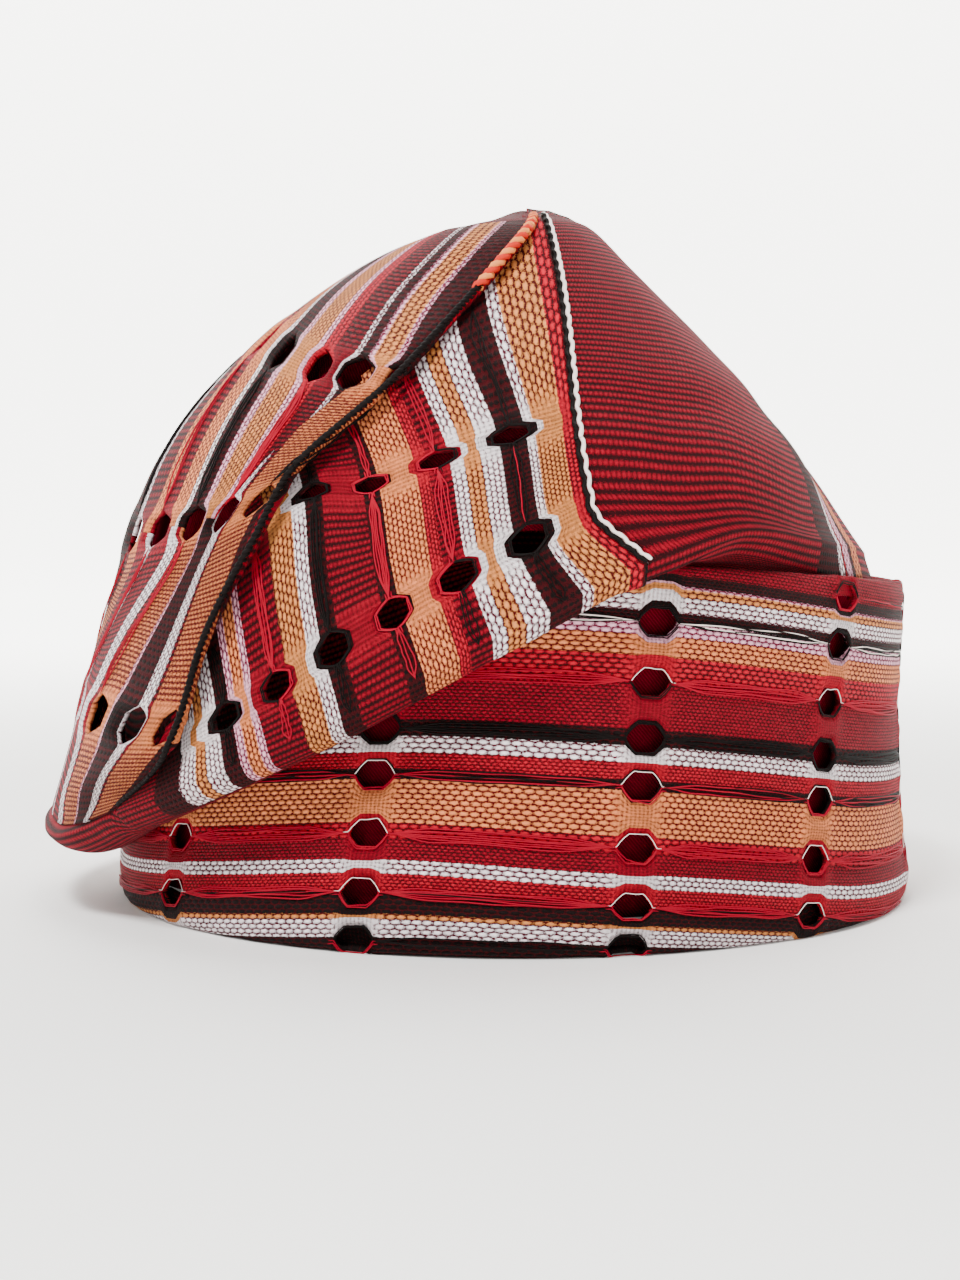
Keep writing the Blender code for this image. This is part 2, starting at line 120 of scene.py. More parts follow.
# The flap at the front: v is 14.5 mm for each line of its eyelets.
FLAP_LINE = 14.5
FLAP_STRIPES = tuple(
    (k * FLAP_LINE, colour, weave)
    for k, colour, weave in (
        (-3, "red", "rib"), (-1.3, "black", "rib"), (-0.87, "white", "lens"), (-0.6, "tan", "lens"),
        (-0.42, "white", "lens"), (-0.18, "black", "rib"), (0.08, "pink", "lens"), (0.22, "orange", "lens"),
        (0.45, "pink", "lens"), (0.56, "red", "rib"), (1.22, "tan", "lens"), (1.6, "white", "lens"),
        (1.82, "black", "rib"), (2.12, "red", "rib"), (2.85, "black", "rib"), (3.1, "orange", "lens"),
        (3.66, "bright", "fine"), (3.84, "red", "rib"), (4.16, "white", "lens"), (4.34, "tan", "lens"),
        (4.55, "white", "lens"), (4.8, "black", "rib"), (5.18, "white", "lens"), (5.33, "tan", "lens"),
        (5.76, "bright", "lens"), (5.92, "black", "lens"), (5.985, "white", "lens"),
    )
)

# The left face: v is 10 mm for each line of its eyelets, from the long pleat back. The first table holds above
# the middle row of eyelets, the second below it and along the pleat.
LEFT_LINE = 10.0
LEFT_STRIPES = tuple(
    (j * LEFT_LINE, colour, weave)
    for j, colour, weave in (
        (-2, "red", "rib"), (-0.32, "bright", "fine"), (-0.24, "black", "rib"), (0.1, "pink", "lens"), (0.16, "tan", "lens"),
        (0.37, "pink", "lens"), (0.42, "black", "rib"), (0.5, "white", "lens"), (0.56, "deep", "rib"), (0.86, "bright", "fine"),
        (1.06, "pink", "lens"), (1.16, "tan", "lens"), (1.6, "pink", "lens"), (1.78, "black", "rib"), (2.14, "white", "lens"),
        (2.28, "orange", "lens"), (2.62, "red", "rib"), (3.0, "orange", "lens"), (3.3, "deep", "rib"), (3.8, "white", "lens"),
        (4.0, "black", "rib"), (4.6, "orange", "lens"), (5.1, "red", "rib"), (6.1, "tan", "lens"), (6.6, "white", "lens"),
        (6.9, "black", "rib"), (7.3, "red", "rib"), (8.4, "orange", "lens"), (8.9, "deep", "rib"),
    )
)
LEFT_LOW_STRIPES = tuple(
    (j * LEFT_LINE, colour, weave)
    for j, colour, weave in (
        (-2, "red", "rib"), (-0.5, "black", "rib"), (-0.3, "orange", "cord"), (0.62, "deep", "rib"), (0.76, "white", "lens"),
        (1.0, "black", "rib"), (1.44, "pink", "lens"), (1.52, "orange", "cord"), (2.06, "red", "rib"), (2.17, "white", "lens"),
        (2.4, "red", "rib"), (2.9, "white", "lens"), (3.05, "red", "rib"), (3.4, "orange", "cord"), (3.8, "deep", "rib"),
        (4.0, "black", "rib"), (4.6, "orange", "lens"),
        (5.1, "red", "rib"), (6.1, "tan", "lens"), (6.6, "white", "lens"), (6.9, "black", "rib"), (7.3, "red", "rib"),
        (8.4, "orange", "lens"), (8.9, "deep", "rib"),
    )
)

# The right side: v in millimetres from the seam.
RIGHT_STRIPES = (
    (-10, "red", "rib"), (57, "black", "rib"), (66, "white", "lens"), (68.5, "red", "lens"), (70, "pink", "lens"),
    (73, "black", "rib"), (75.5, "orange", "lens"), (80, "red", "rib"), (90, "black", "rib"), (95, "white", "lens"),
    (100, "orange", "lens"), (108, "red", "rib"), (130, "tan", "lens"), (136, "black", "rib"), (140, "red", "rib"),
)

# ---------------------------------------------------------------- curves and surfaces


def smooth(x, y, at):
    """A cubic through the points (x, y), whose slope at each is limited so that it doesn't overshoot."""
    x, y = np.asarray(x, float), np.asarray(y, float)
    step = np.diff(x)
    rise = np.diff(y) / step
    slope = np.zeros(len(x))
    before, after = np.where(rise[:-1] == 0, 1, rise[:-1]), np.where(rise[1:] == 0, 1, rise[1:])
    mean = 3 * (step[1:] + step[:-1]) / ((2 * step[1:] + step[:-1]) / before + (step[1:] + 2 * step[:-1]) / after)
    slope[1:-1] = np.where(rise[1:] * rise[:-1] > 0, mean, 0)
    slope[0], slope[-1] = rise[0], rise[-1]
    i = np.clip(np.searchsorted(x, at, side="right") - 1, 0, len(x) - 2)
    t = np.clip((at - x[i]) / step[i], 0, 1)
    return (
        (1 + 2 * t) * (1 - t) ** 2 * y[i] + t * (1 - t) ** 2 * step[i] * slope[i]
        + t * t * (3 - 2 * t) * y[i + 1] + t * t * (t - 1) * step[i] * slope[i + 1]
    )


def periodic(table, column, azimuth):
    """A column of a table by azimuth, as a smooth curve that joins up all the way round."""
    turn, value = np.asarray(table["azimuth"], float), np.asarray(table[column], float)
    x = np.concatenate([turn[-2:] - 360, turn, turn[:2] + 360])
    y = np.concatenate([value[-2:], value, value[:2]])
    return smooth(x, y, (np.asarray(azimuth, float) - turn[0]) % 360 + turn[0])


def ease(t):
    t = np.clip(t, 0, 1)
    return t * t * (3 - 2 * t)


def turned(azimuth, radius, height):
    """Points from azimuth, distance from the axis and height."""
    a = np.radians(azimuth)
    return np.stack([radius * np.sin(a), -radius * np.cos(a), height + 0 * a], axis=-1)


def band_top(azimuth):
    return BAND_HEIGHT - BAND_DIP * np.sin(np.radians(azimuth)) ** 2


def band_radius(azimuth, height):
    """Outside radius of the band: the share of the radius at that share of the height, less the lean on the left."""
    share = height / band_top(azimuth)
    lean = BAND_LEAN * ease(-np.sin(np.radians(azimuth))) * np.interp(share, *BAND_LEAN_LEVELS)
    return BAND_RADIUS * np.interp(share, *BAND_LEVELS) - lean


def band_inside(azimuth, height):
    return band_radius(azimuth, height) - CLOTH * np.interp(height / band_top(azimuth), BAND_LEVELS[0], BAND_WALL)


def droop(azimuth):
    """How much lower the stripes of the band run at an azimuth than at the front."""
    s = np.sin(np.radians(azimuth))
    return 12 * s * s + 2 * s


def band_where(u, v):
    """(azimuth, height) of a point of the band's cloth. The columns of eyelets lean, the two right of the front are
    drawn aside a little, and the lower stripes sag between them."""
    front = u / ARC
    right = np.exp(-(((front - 45) / 20) ** 2))
    share = v / BAND_HEIGHT
    azimuth = front + (EYELET_LEAN + 4.5 * right) * share - 4.0 * right + 2.6 * np.exp(-(((front - 12) / 13) ** 2)) * (1 - 0.4 * share)
    sag = np.interp(v, (6, 14, 26, 38, 58), (0.9, 2.3, 2.3, 1.5, 0.7)) * ease((azimuth + 24) / 36) * (1 - ease((azimuth - 48) / 34))
    return azimuth, v - droop(azimuth) - sag


def band_place(u, v):
    """The outside of the band's cloth. Below the rim the cloth turns under on a half circle of 1.65 mm, and over
    the top edge it turns in on one of 0.95 mm."""
    azimuth, height = band_where(u, v)
    top = band_top(azimuth) - 1.0
    radius = band_radius(azimuth, np.clip(height, 1.7, top))
    out = height.copy()
    for past, centre, sign, r in ((1.7 - height, 1.7 + 0 * top, -1, 1.65), (height - top, top, 1, 0.95)):
        turn = np.clip(past / r, 0, math.pi)
        beyond = np.maximum(past - math.pi * r, 0)
        radius = radius - np.where(past > 0, r * (1 - np.cos(turn)), 0)
        out = np.where(past > 0, centre + sign * (r * np.sin(turn) - beyond), out)
    return turned(azimuth, radius, out)


def hem(azimuth):
    """(reach, lowest point) of the crown's lower edge."""
    return BAND_RADIUS * periodic(HEM, "reach", azimuth), BAND_HEIGHT * periodic(HEM, "height", azimuth)


def pleat_azimuth(share):
    return smooth(*PLEAT, share)


def fold_azimuth(share):
    """Azimuth of the folded edge of the left face, which laps a little past the pleat low down."""
    return pleat_azimuth(share) + 2.5 * ease(share / 0.07) * (1 - ease((share - 0.36) / 0.16))


def skin_swell(azimuth, height, share, side):
    """Swells and dents of the crown's outer skin, each a bell curve in azimuth and height, and the step of the
    long pleat. Side is -1 on the left face, 1 right of the pleat and 0 for the lower of the two."""
    extra = 0 * height
    for turn, level, half_turn, half_height, rise in zip(*(FOLDS[n] for n in ("azimuth", "height", "half_turn", "half_height", "rise"))):
        away = ((azimuth - turn + 180) % 360 - 180) / half_turn
        extra += CLOTH * rise * np.exp(-away * away - ((height / CROWN_HEIGHT - level) / half_height) ** 2)
    away = (azimuth - pleat_azimuth(share) + 180) % 360 - 180
    fade = ease(share / 0.06) * (1 - ease((share - 0.86) / 0.14))
    step = 0.8 * PLEAT_STEP * (1 - ease(-away / 38)) if side < 0 else -0.2 * PLEAT_STEP * (1 - ease(np.abs(away) / 18))
    return (extra + fade * step) * ease(share / 0.08) * (1 - ease((share - 0.93) / 0.07))


def section(azimuth, side, shares):
    """(radius, height) of the outer skin at shares of the rise from the hem to the ridge, in one upright half-plane."""
    reach, low = hem(azimuth)
    start = low + HEM_FOLD
    radii = np.array([reach, *(BAND_RADIUS * periodic(SECTIONS, n, azimuth) for n in ("low", "middle", "high", "crest")), 0.0])
    heights = start + np.array((0.0, *LEVEL_SHARES, 1.0)) * (CROWN_HEIGHT - start)
    walked = np.concatenate([[0.0], np.cumsum(np.hypot(np.diff(radii), np.diff(heights)))])
    fine = np.linspace(0, walked[-1], 161)
    radius, height = smooth(walked, radii, fine), smooth(walked, heights, fine)
    share = (height - start) / (CROWN_HEIGHT - start)
    radius = radius + skin_swell(azimuth, height, share, side) * np.clip(radius / 12, 0, 1)
    return np.interp(shares, share, radius), start + shares * (CROWN_HEIGHT - start)


def edge_section(azimuth, count):
    """(radius, height) of the crown's cloth from the bottom of its neck, inside the band, over the top edge, down
    the outside and round the hem, at even steps of its length, and that length."""
    reach, low = hem(azimuth)
    top = float(band_top(azimuth))
    clear = top + 1.5 * GAP
    start = low + HEM_FOLD
    neck_low = float(band_inside(azimuth, top - NECK_DEPTH)) - 2.2 * GAP - LINING
    neck_high = min(float(band_inside(azimuth, top)) - 2.2 * GAP - LINING, reach + 1.5)
    mouth = float(band_radius(azimuth, top)) + 1.5 * GAP
    skirt = float(band_radius(azimuth, 0.09 * top)) + GAP
    down = min(start, clear)
    base = low if low < clear else max(low, clear)
    width = reach - skirt
    lip = min(max((reach - neck_high) / 4.0, 0.0), 1.0)
    run = np.linspace(0, 1, 7)
    neck = [(neck_low, top - NECK_DEPTH), (neck_high, top - 2 * CLOTH), (neck_high + 0.1, clear - 0.1)]
    flap = [
        ((neck_high + mouth) / 2, clear + GAP / 2), (mouth, clear), ((mouth + skirt) / 2, (clear + down) / 2), (skirt, down),
        (skirt + 0.2 * width, base + 0.2 * (down - base)), (skirt + 0.5 * width, base), (skirt + 0.8 * width, base + 0.25 * (start - base)),
    ]
    bend = np.interp(run, [0, 0.15, 0.85, 1], [0, 0.2, 0.85, 1])
    radius = neck_high + (reach - neck_high) * (run + lip * (bend - run))
    height = np.interp(run, [0, 0.15, 0.6, 1], [clear + 0.1, clear + 0.4, max(low, clear) + 0.6, start - 0.6])
    height = height * lip + (1 - lip) * np.linspace(clear + 0.5, start - 0.6, 7)
    plain = np.stack([radius, height], axis=1)
    out = float(ease((reach - 1.02 * BAND_RADIUS) / (0.03 * BAND_RADIUS)))
    points = np.concatenate([neck, plain + out * (np.array(flap) - plain), [(reach, start)]])
    walked = np.concatenate([[0.0], np.cumsum(np.maximum(np.hypot(*np.diff(points, axis=0).T), 0.05))])
    even = np.linspace(0, walked[-1], count)
    return smooth(walked, points[:, 0], even), smooth(walked, points[:, 1], even), walked[-1]


EDGE_ROWS, SKIN_ROWS = 60, 200
AZIMUTHS = np.arange(-181, 182)


def crown_lattice():
    """For each side of the pleat, radius and height by whole degree and row: the turned edge, then the skin."""
    edges = [edge_section(a, EDGE_ROWS + 1) for a in AZIMUTHS]
    lattice = {}
    for side in (-1, 0, 1):
        rows = []
        for a, edge in zip(AZIMUTHS, edges):
            radius, height = section(a, side, np.linspace(0, 1, SKIN_ROWS + 1))
            rows.append([np.concatenate([edge[0][:-1], radius]), np.concatenate([edge[1][:-1], height])])
        lattice[side] = np.array(rows)
    return lattice, np.array([edge[2] for edge in edges])


LATTICE, EDGE_LENGTH = crown_lattice()


def crown_point(azimuth, share, side):
    """The outer skin at a share of the rise, or, where the share is negative, at that many millimetres round the
    hem and up its far side. Bilinear between the points of the lattice."""
    azimuth = (azimuth + 180) % 360 - 180
    edge = np.interp(azimuth, AZIMUTHS, EDGE_LENGTH)
    row = EDGE_ROWS + np.where(share < 0, share * EDGE_ROWS / edge, share * SKIN_ROWS)
    row = np.clip(row, 0, EDGE_ROWS + SKIN_ROWS - 1e-6)
    column = azimuth - AZIMUTHS[0]
    i, j = column.astype(int), row.astype(int)
    s, t = column - i, row - j
    L = LATTICE[side]
    radius, height = [
        (1 - s) * ((1 - t) * L[i, n, j] + t * L[i, n, j + 1]) + s * ((1 - t) * L[i + 1, n, j] + t * L[i + 1, n, j + 1]) for n in (0, 1)
    ]
    point = turned(azimuth, radius, height)
    peak = 3.4 * np.exp(-((point[..., 0] - 11) ** 2 + (point[..., 1] + 3) ** 2) / 12 ** 2)
    point[..., 2] += peak * ease((point[..., 2] - 130) / 25)
    return point


def rise_share(azimuth, height):
    """Share of the rise from the hem to the ridge at a height."""
    start = hem(azimuth)[1] + HEM_FOLD
    return (height - start) / (CROWN_HEIGHT - start)


def line_map(levels, lines, azimuths, heights):
    """A map from cloth (u, v) to (azimuth, share of the rise). Levels are values of u, the first of them 0 at the
    hem; lines are values of v. The tables give azimuth and height of each line at each level."""
    azimuths, heights = np.array(azimuths, float), np.array(heights, float)
    shares = np.array([[0.0 if n == 0 else float(rise_share(a, z)) for a, z in zip(*row)] for n, row in enumerate(zip(azimuths, heights))])
    us = np.arange(0, levels[-1] + 0.5, 0.5)
    vs = np.arange(lines[0], lines[-1] + 0.5, 0.5)
    maps = []
    for table in (azimuths, shares):
        along = np.array([smooth(levels, table[:, n], us) for n in range(len(lines))]).T
        maps.append(np.array([smooth(lines, row, vs) for row in along]))

    def mapped(u, v):
        a = np.clip(u, 0, us[-1] - 1e-6) / 0.5
        b = np.clip((v - vs[0]) / 0.5, 0, len(vs) - 1 - 1e-6)
        i, j = a.astype(int), b.astype(int)
        s, t = a - i, b - j
        azimuth, share = [
            (1 - s) * ((1 - t) * M[i, j] + t * M[i, j + 1]) + s * ((1 - t) * M[i + 1, j] + t * M[i + 1, j + 1]) for M in maps
        ]
        return azimuth, np.where(u < 0, u, share)

    return mapped


# ---------------------------------------------------------------- building cloth


def steps(marks, step, near=None):
    """Values from the first mark to the last that pass through every mark, about a step apart, and closer where
    two marks are less than 8 mm apart."""
    out = [marks[:1]]
    for a, b in zip(marks[:-1], marks[1:]):
        out.append(np.linspace(a, b, max(1, round((b - a) / (near if near and b - a < 8 else step))) + 1)[1:])
    return np.concatenate(out)


def eyelet_outline(away):
    """Half height of an eyelet, as a share, at a share of its half width: a hexagon with eased corners."""
    return np.clip((1 - np.abs(away)) / 0.52, 0, 1) ** 0.85


def cloth(name, u, v, eyelets, place, flip=False, keep=None, lift=None, closed=0.0, halves={}):
    """A sheet on a grid of cloth coordinates. At an eyelet the grid is slit along its line of v, and the cloth
    between two eyelets of a column is squeezed evenly: a point at share t from one line to the next moves by
    half height times (1 - t) away from the first, and times t away from the second. Eyelets are
    {v: [u, ...]}, and halves gives half sizes by u where they aren't the usual ones. Closed is the length round,
    where the sheet joins up. The map "stripe" holds (u, v), and the map "cloth" the mean length along and v."""
    lines = np.array(sorted(eyelets))
    half = {c: halves.get(c, EYELET_HALF) for line in lines for c in eyelets[line]}
    spread = np.array([sum((half[c][1] * eyelet_outline((u - c) / half[c][0]) for c in eyelets[line]), 0 * u) for line in lines])
    near = np.array([sum((np.exp(-(((u - c) / 5.6) ** 4)) for c in eyelets[line]), 0 * u) for line in lines])
    lines = np.concatenate([[lines[0] - 12], lines, [lines[-1] + 12]])
    spread, near = np.pad(spread, ((1, 1), (0, 0))), np.pad(near, ((1, 1), (0, 0)))
    U, V = np.meshgrid(u, v)
    copies = []
    for below in (True, False):
        k = np.clip(np.searchsorted(lines, v, side="left" if below else "right") - 1, 0, len(lines) - 2)
        room = (lines[k + 1] - lines[k])[:, None]
        t = np.clip((v - lines[k]) / (lines[k + 1] - lines[k]), 0, 1)[:, None]
        moved = spread[k] * (1 - t) - spread[k + 1] * t
        past = ((v - lines[k]) / (lines[k + 1] - lines[k]))[:, None]
        pinch = np.maximum(near[k], near[k + 1]) * np.exp(-(((1 - 2 * past) * room / 16) ** 4))
        bulge = (near[k] * (1 - t) + near[k + 1] * t) * (1 - (2 * t - 1) ** 2)
        dip = spread[k] * np.exp(-((t * room / 1.6) ** 2)) + spread[k + 1] * np.exp(-(((1 - t) * room / 1.6) ** 2))
        P = place(U, V + moved)
        out = np.cross(place(U + 0.2, V + moved) - P, place(U, V + moved + 0.2) - P)
        out /= np.maximum(np.linalg.norm(out, axis=-1, keepdims=True), 1e-12) * (-1 if flip else 1)
        P = P + out * (0.6 * bulge - 0.25 * dip + (lift(U, V) if lift else 0))[..., None]
        copies.append((P, pinch))
    (P, pinch), (upper, upper_pinch) = copies
    rows, columns = V.shape
    ids = np.arange(rows * columns).reshape(rows, columns)
    on_line = np.isin(np.round(v, 6), np.round(lines[1:-1], 6))
    k = np.clip(np.searchsorted(lines, v - 1e-6), 0, len(lines) - 1)
    slit = on_line[:, None] & (spread[k] > 1e-3)
    starts = ids.copy()
    starts[slit] = rows * columns + np.arange(slit.sum())
    points = np.concatenate([P.reshape(-1, 3), upper[slit]])
    points[:, 2] = np.maximum(points[:, 2], 0.02)
    pinches = np.concatenate([pinch.ravel(), upper_pinch[slit]])
    walked = np.linalg.norm(np.diff(place(U, V), axis=1), axis=-1).mean(axis=0)
    along = np.concatenate([[0.0], np.cumsum(walked)])[None] + 0 * U
    along, across = along - along[:, [int(np.argmin(np.abs(u)))]], V
    if closed:
        along = U
    right = np.r_[1:columns, 0] if closed else np.arange(1, columns)
    left = np.arange(len(right))
    shift = np.where(right == 0, closed, 0.0)
    corners = [starts[:-1][:, left], starts[:-1][:, right], ids[1:][:, right], ids[1:][:, left]]
    faces = np.stack(corners, -1).reshape(-1, 4)

    def corner_values(first, second):
        a = [first[:-1][:, left], first[:-1][:, right] + shift, first[1:][:, right] + shift, first[1:][:, left]]
        b = [second[:-1][:, left], second[:-1][:, right], second[1:][:, right], second[1:][:, left]]
        return np.stack([np.stack(a, -1), np.stack(b, -1)], -1).reshape(-1, 4, 2)

    maps = {"stripe": corner_values(U, V), "cloth": corner_values(along, across)}
    if keep is not None:
        held = keep((U[:-1][:, left] + U[:-1][:, right]) / 2, (V[:-1][:, left] + V[1:][:, left]) / 2).ravel()
        faces, maps = faces[held], {n: m[held] for n, m in maps.items()}
    if flip:
        faces, maps = faces[:, ::-1], {n: m[:, ::-1] for n, m in maps.items()}
    return mesh_object(name, points, faces, maps, {"pinch": pinches})


def mesh_object(name, points, faces, maps=None, values=None):
    """A smooth-shaded mesh from arrays, without the points that no face uses."""
    used, index = np.unique(faces, return_inverse=True)
    faces = index.reshape(faces.shape).astype(np.int32)
    mesh = bpy.data.meshes.new(name)
    mesh.vertices.add(len(used))
    mesh.vertices.foreach_set("co", (points[used] * MM).astype(np.float32).ravel())
    mesh.loops.add(faces.size)
    mesh.loops.foreach_set("vertex_index", faces.ravel())
    mesh.polygons.add(len(faces))
    mesh.polygons.foreach_set("loop_start", np.arange(0, faces.size, faces.shape[1], dtype=np.int32))
    for key, value in (maps or {}).items():
        mesh.uv_layers.new(name=key).data.foreach_set("uv", value.astype(np.float32).ravel())
    for key, value in (values or {}).items():
        mesh.attributes.new(key, "FLOAT", "POINT").data.foreach_set("value", value[used].astype(np.float32))
    mesh.update(calc_edges=True)
    mesh.validate()
    mesh.shade_smooth()
    obj = bpy.data.objects.new(name, mesh)
    bpy.context.scene.collection.objects.link(obj)
    return obj


def thicken(obj, thickness):
    solid = obj.modifiers.new("thickness", "SOLIDIFY")
    solid.thickness = thickness * MM
    solid.offset = -1


def finish_piece(obj, material, nodes=()):
    obj.data.materials.append(material)
    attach(obj, "root")
    if nodes:
        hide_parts(*nodes)


# ---------------------------------------------------------------- materials


def linear(code):
    """Linear RGBA from an sRGB hex code: (c + 0.055) / 1.055 to the power 2.4, or c / 12.92 near black."""
    rgb = [int(code[i : i + 2], 16) / 255 for i in (1, 3, 5)]
    return (*(c / 12.92 if c <= 0.04045 else ((c + 0.055) / 1.055) ** 2.4 for c in rgb), 1.0)


def add(tree, kind, *values, **settings):
    """A node with its inputs given in order, each a value, an output to link, or None to leave."""
    node = tree.nodes.new("ShaderNode" + kind)
    for key, value in settings.items():
        setattr(node, key, value)
    for socket, value in zip([s for s in node.inputs if s.enabled], values):
        if value is None:
            continue
        if isinstance(value, bpy.types.NodeSocket):
            tree.links.new(value, socket)
        else:
            socket.default_value = value
    return node


def calc(tree, operation, *values, clamp=False):
    return add(tree, "Math", *values, operation=operation, use_clamp=clamp).outputs[0]


def stripes_ramp(tree, factor, rows, pick):
    """A constant colour ramp with one stop at the start of each stripe."""
    ramp = add(tree, "ValToRGB", factor)
    ramp.color_ramp.interpolation = "CONSTANT"
    low, high = rows[0][0], rows[-1][0] + 30
    elements = ramp.color_ramp.elements
    while len(elements) > 1:
        elements.remove(elements[-1])
    for n, row in enumerate(rows):
        stop = elements[0] if n == 0 else elements.new((row[0] - low) / (high - low))
        stop.position = (row[0] - low) / (high - low)
        stop.color = pick(row)
    return ramp.outputs[0]


# Weaves: share of large floats, share of ribs, and the pitch of the ribs from 1.75 mm (0) to 1.1 mm (1).
WEAVES = {"lens": (1, 0, 0, 1), "fine": (0, 0, 0, 1), "rib": (0, 1, 0, 1), "cord": (0, 1, 1, 1)}


def floats(tree, u, v, pitch_u, pitch_v):
    """Lens-shaped floats in brick order. Row i is floor(v / pitch), and odd rows are moved by half a pitch. With a
    and b from -1 to 1 over one float, its relief is the root of 1 - |a| to the power 2.2 - b squared."""
    row = calc(tree, "FLOOR", calc(tree, "DIVIDE", v, pitch_v))
    shift = calc(tree, "MULTIPLY", calc(tree, "MODULO", calc(tree, "ABSOLUTE", row), 2.0), 0.5)
    across = calc(tree, "ADD", calc(tree, "DIVIDE", u, pitch_u), shift)
    a = calc(tree, "MULTIPLY_ADD", calc(tree, "FRACT", across), 2.0, -1.0)
    b = calc(tree, "MULTIPLY_ADD", calc(tree, "FRACT", calc(tree, "DIVIDE", v, pitch_v)), 2.0, -1.0)
    inside = calc(tree, "SUBTRACT", calc(tree, "SUBTRACT", 1.0, calc(tree, "POWER", calc(tree, "ABSOLUTE", a), 2.2)), calc(tree, "MULTIPLY", b, b))
    inside = calc(tree, "MAXIMUM", inside, 0.0)
    identity = add(tree, "CombineXYZ", calc(tree, "FLOOR", across), row, 0.0).outputs[0]
    chance = add(tree, "TexWhiteNoise", identity, noise_dimensions="3D").outputs[0]
    return calc(tree, "SQRT", inside), chance


def blend(tree, factor, a, b):
    return add(tree, "Mix", factor, a, b, data_type="FLOAT").outputs[0]


def tint(tree, factor, a, b, mode="MIX"):
    node = tree.nodes.new("ShaderNodeMix")
    node.data_type, node.blend_type = "RGBA", mode
    for socket, value in zip((node.inputs[0], node.inputs[6], node.inputs[7]), (factor, a, b)):
        if isinstance(value, bpy.types.NodeSocket):
            tree.links.new(value, socket)
        else:
            socket.default_value = value
    return node.outputs[2]


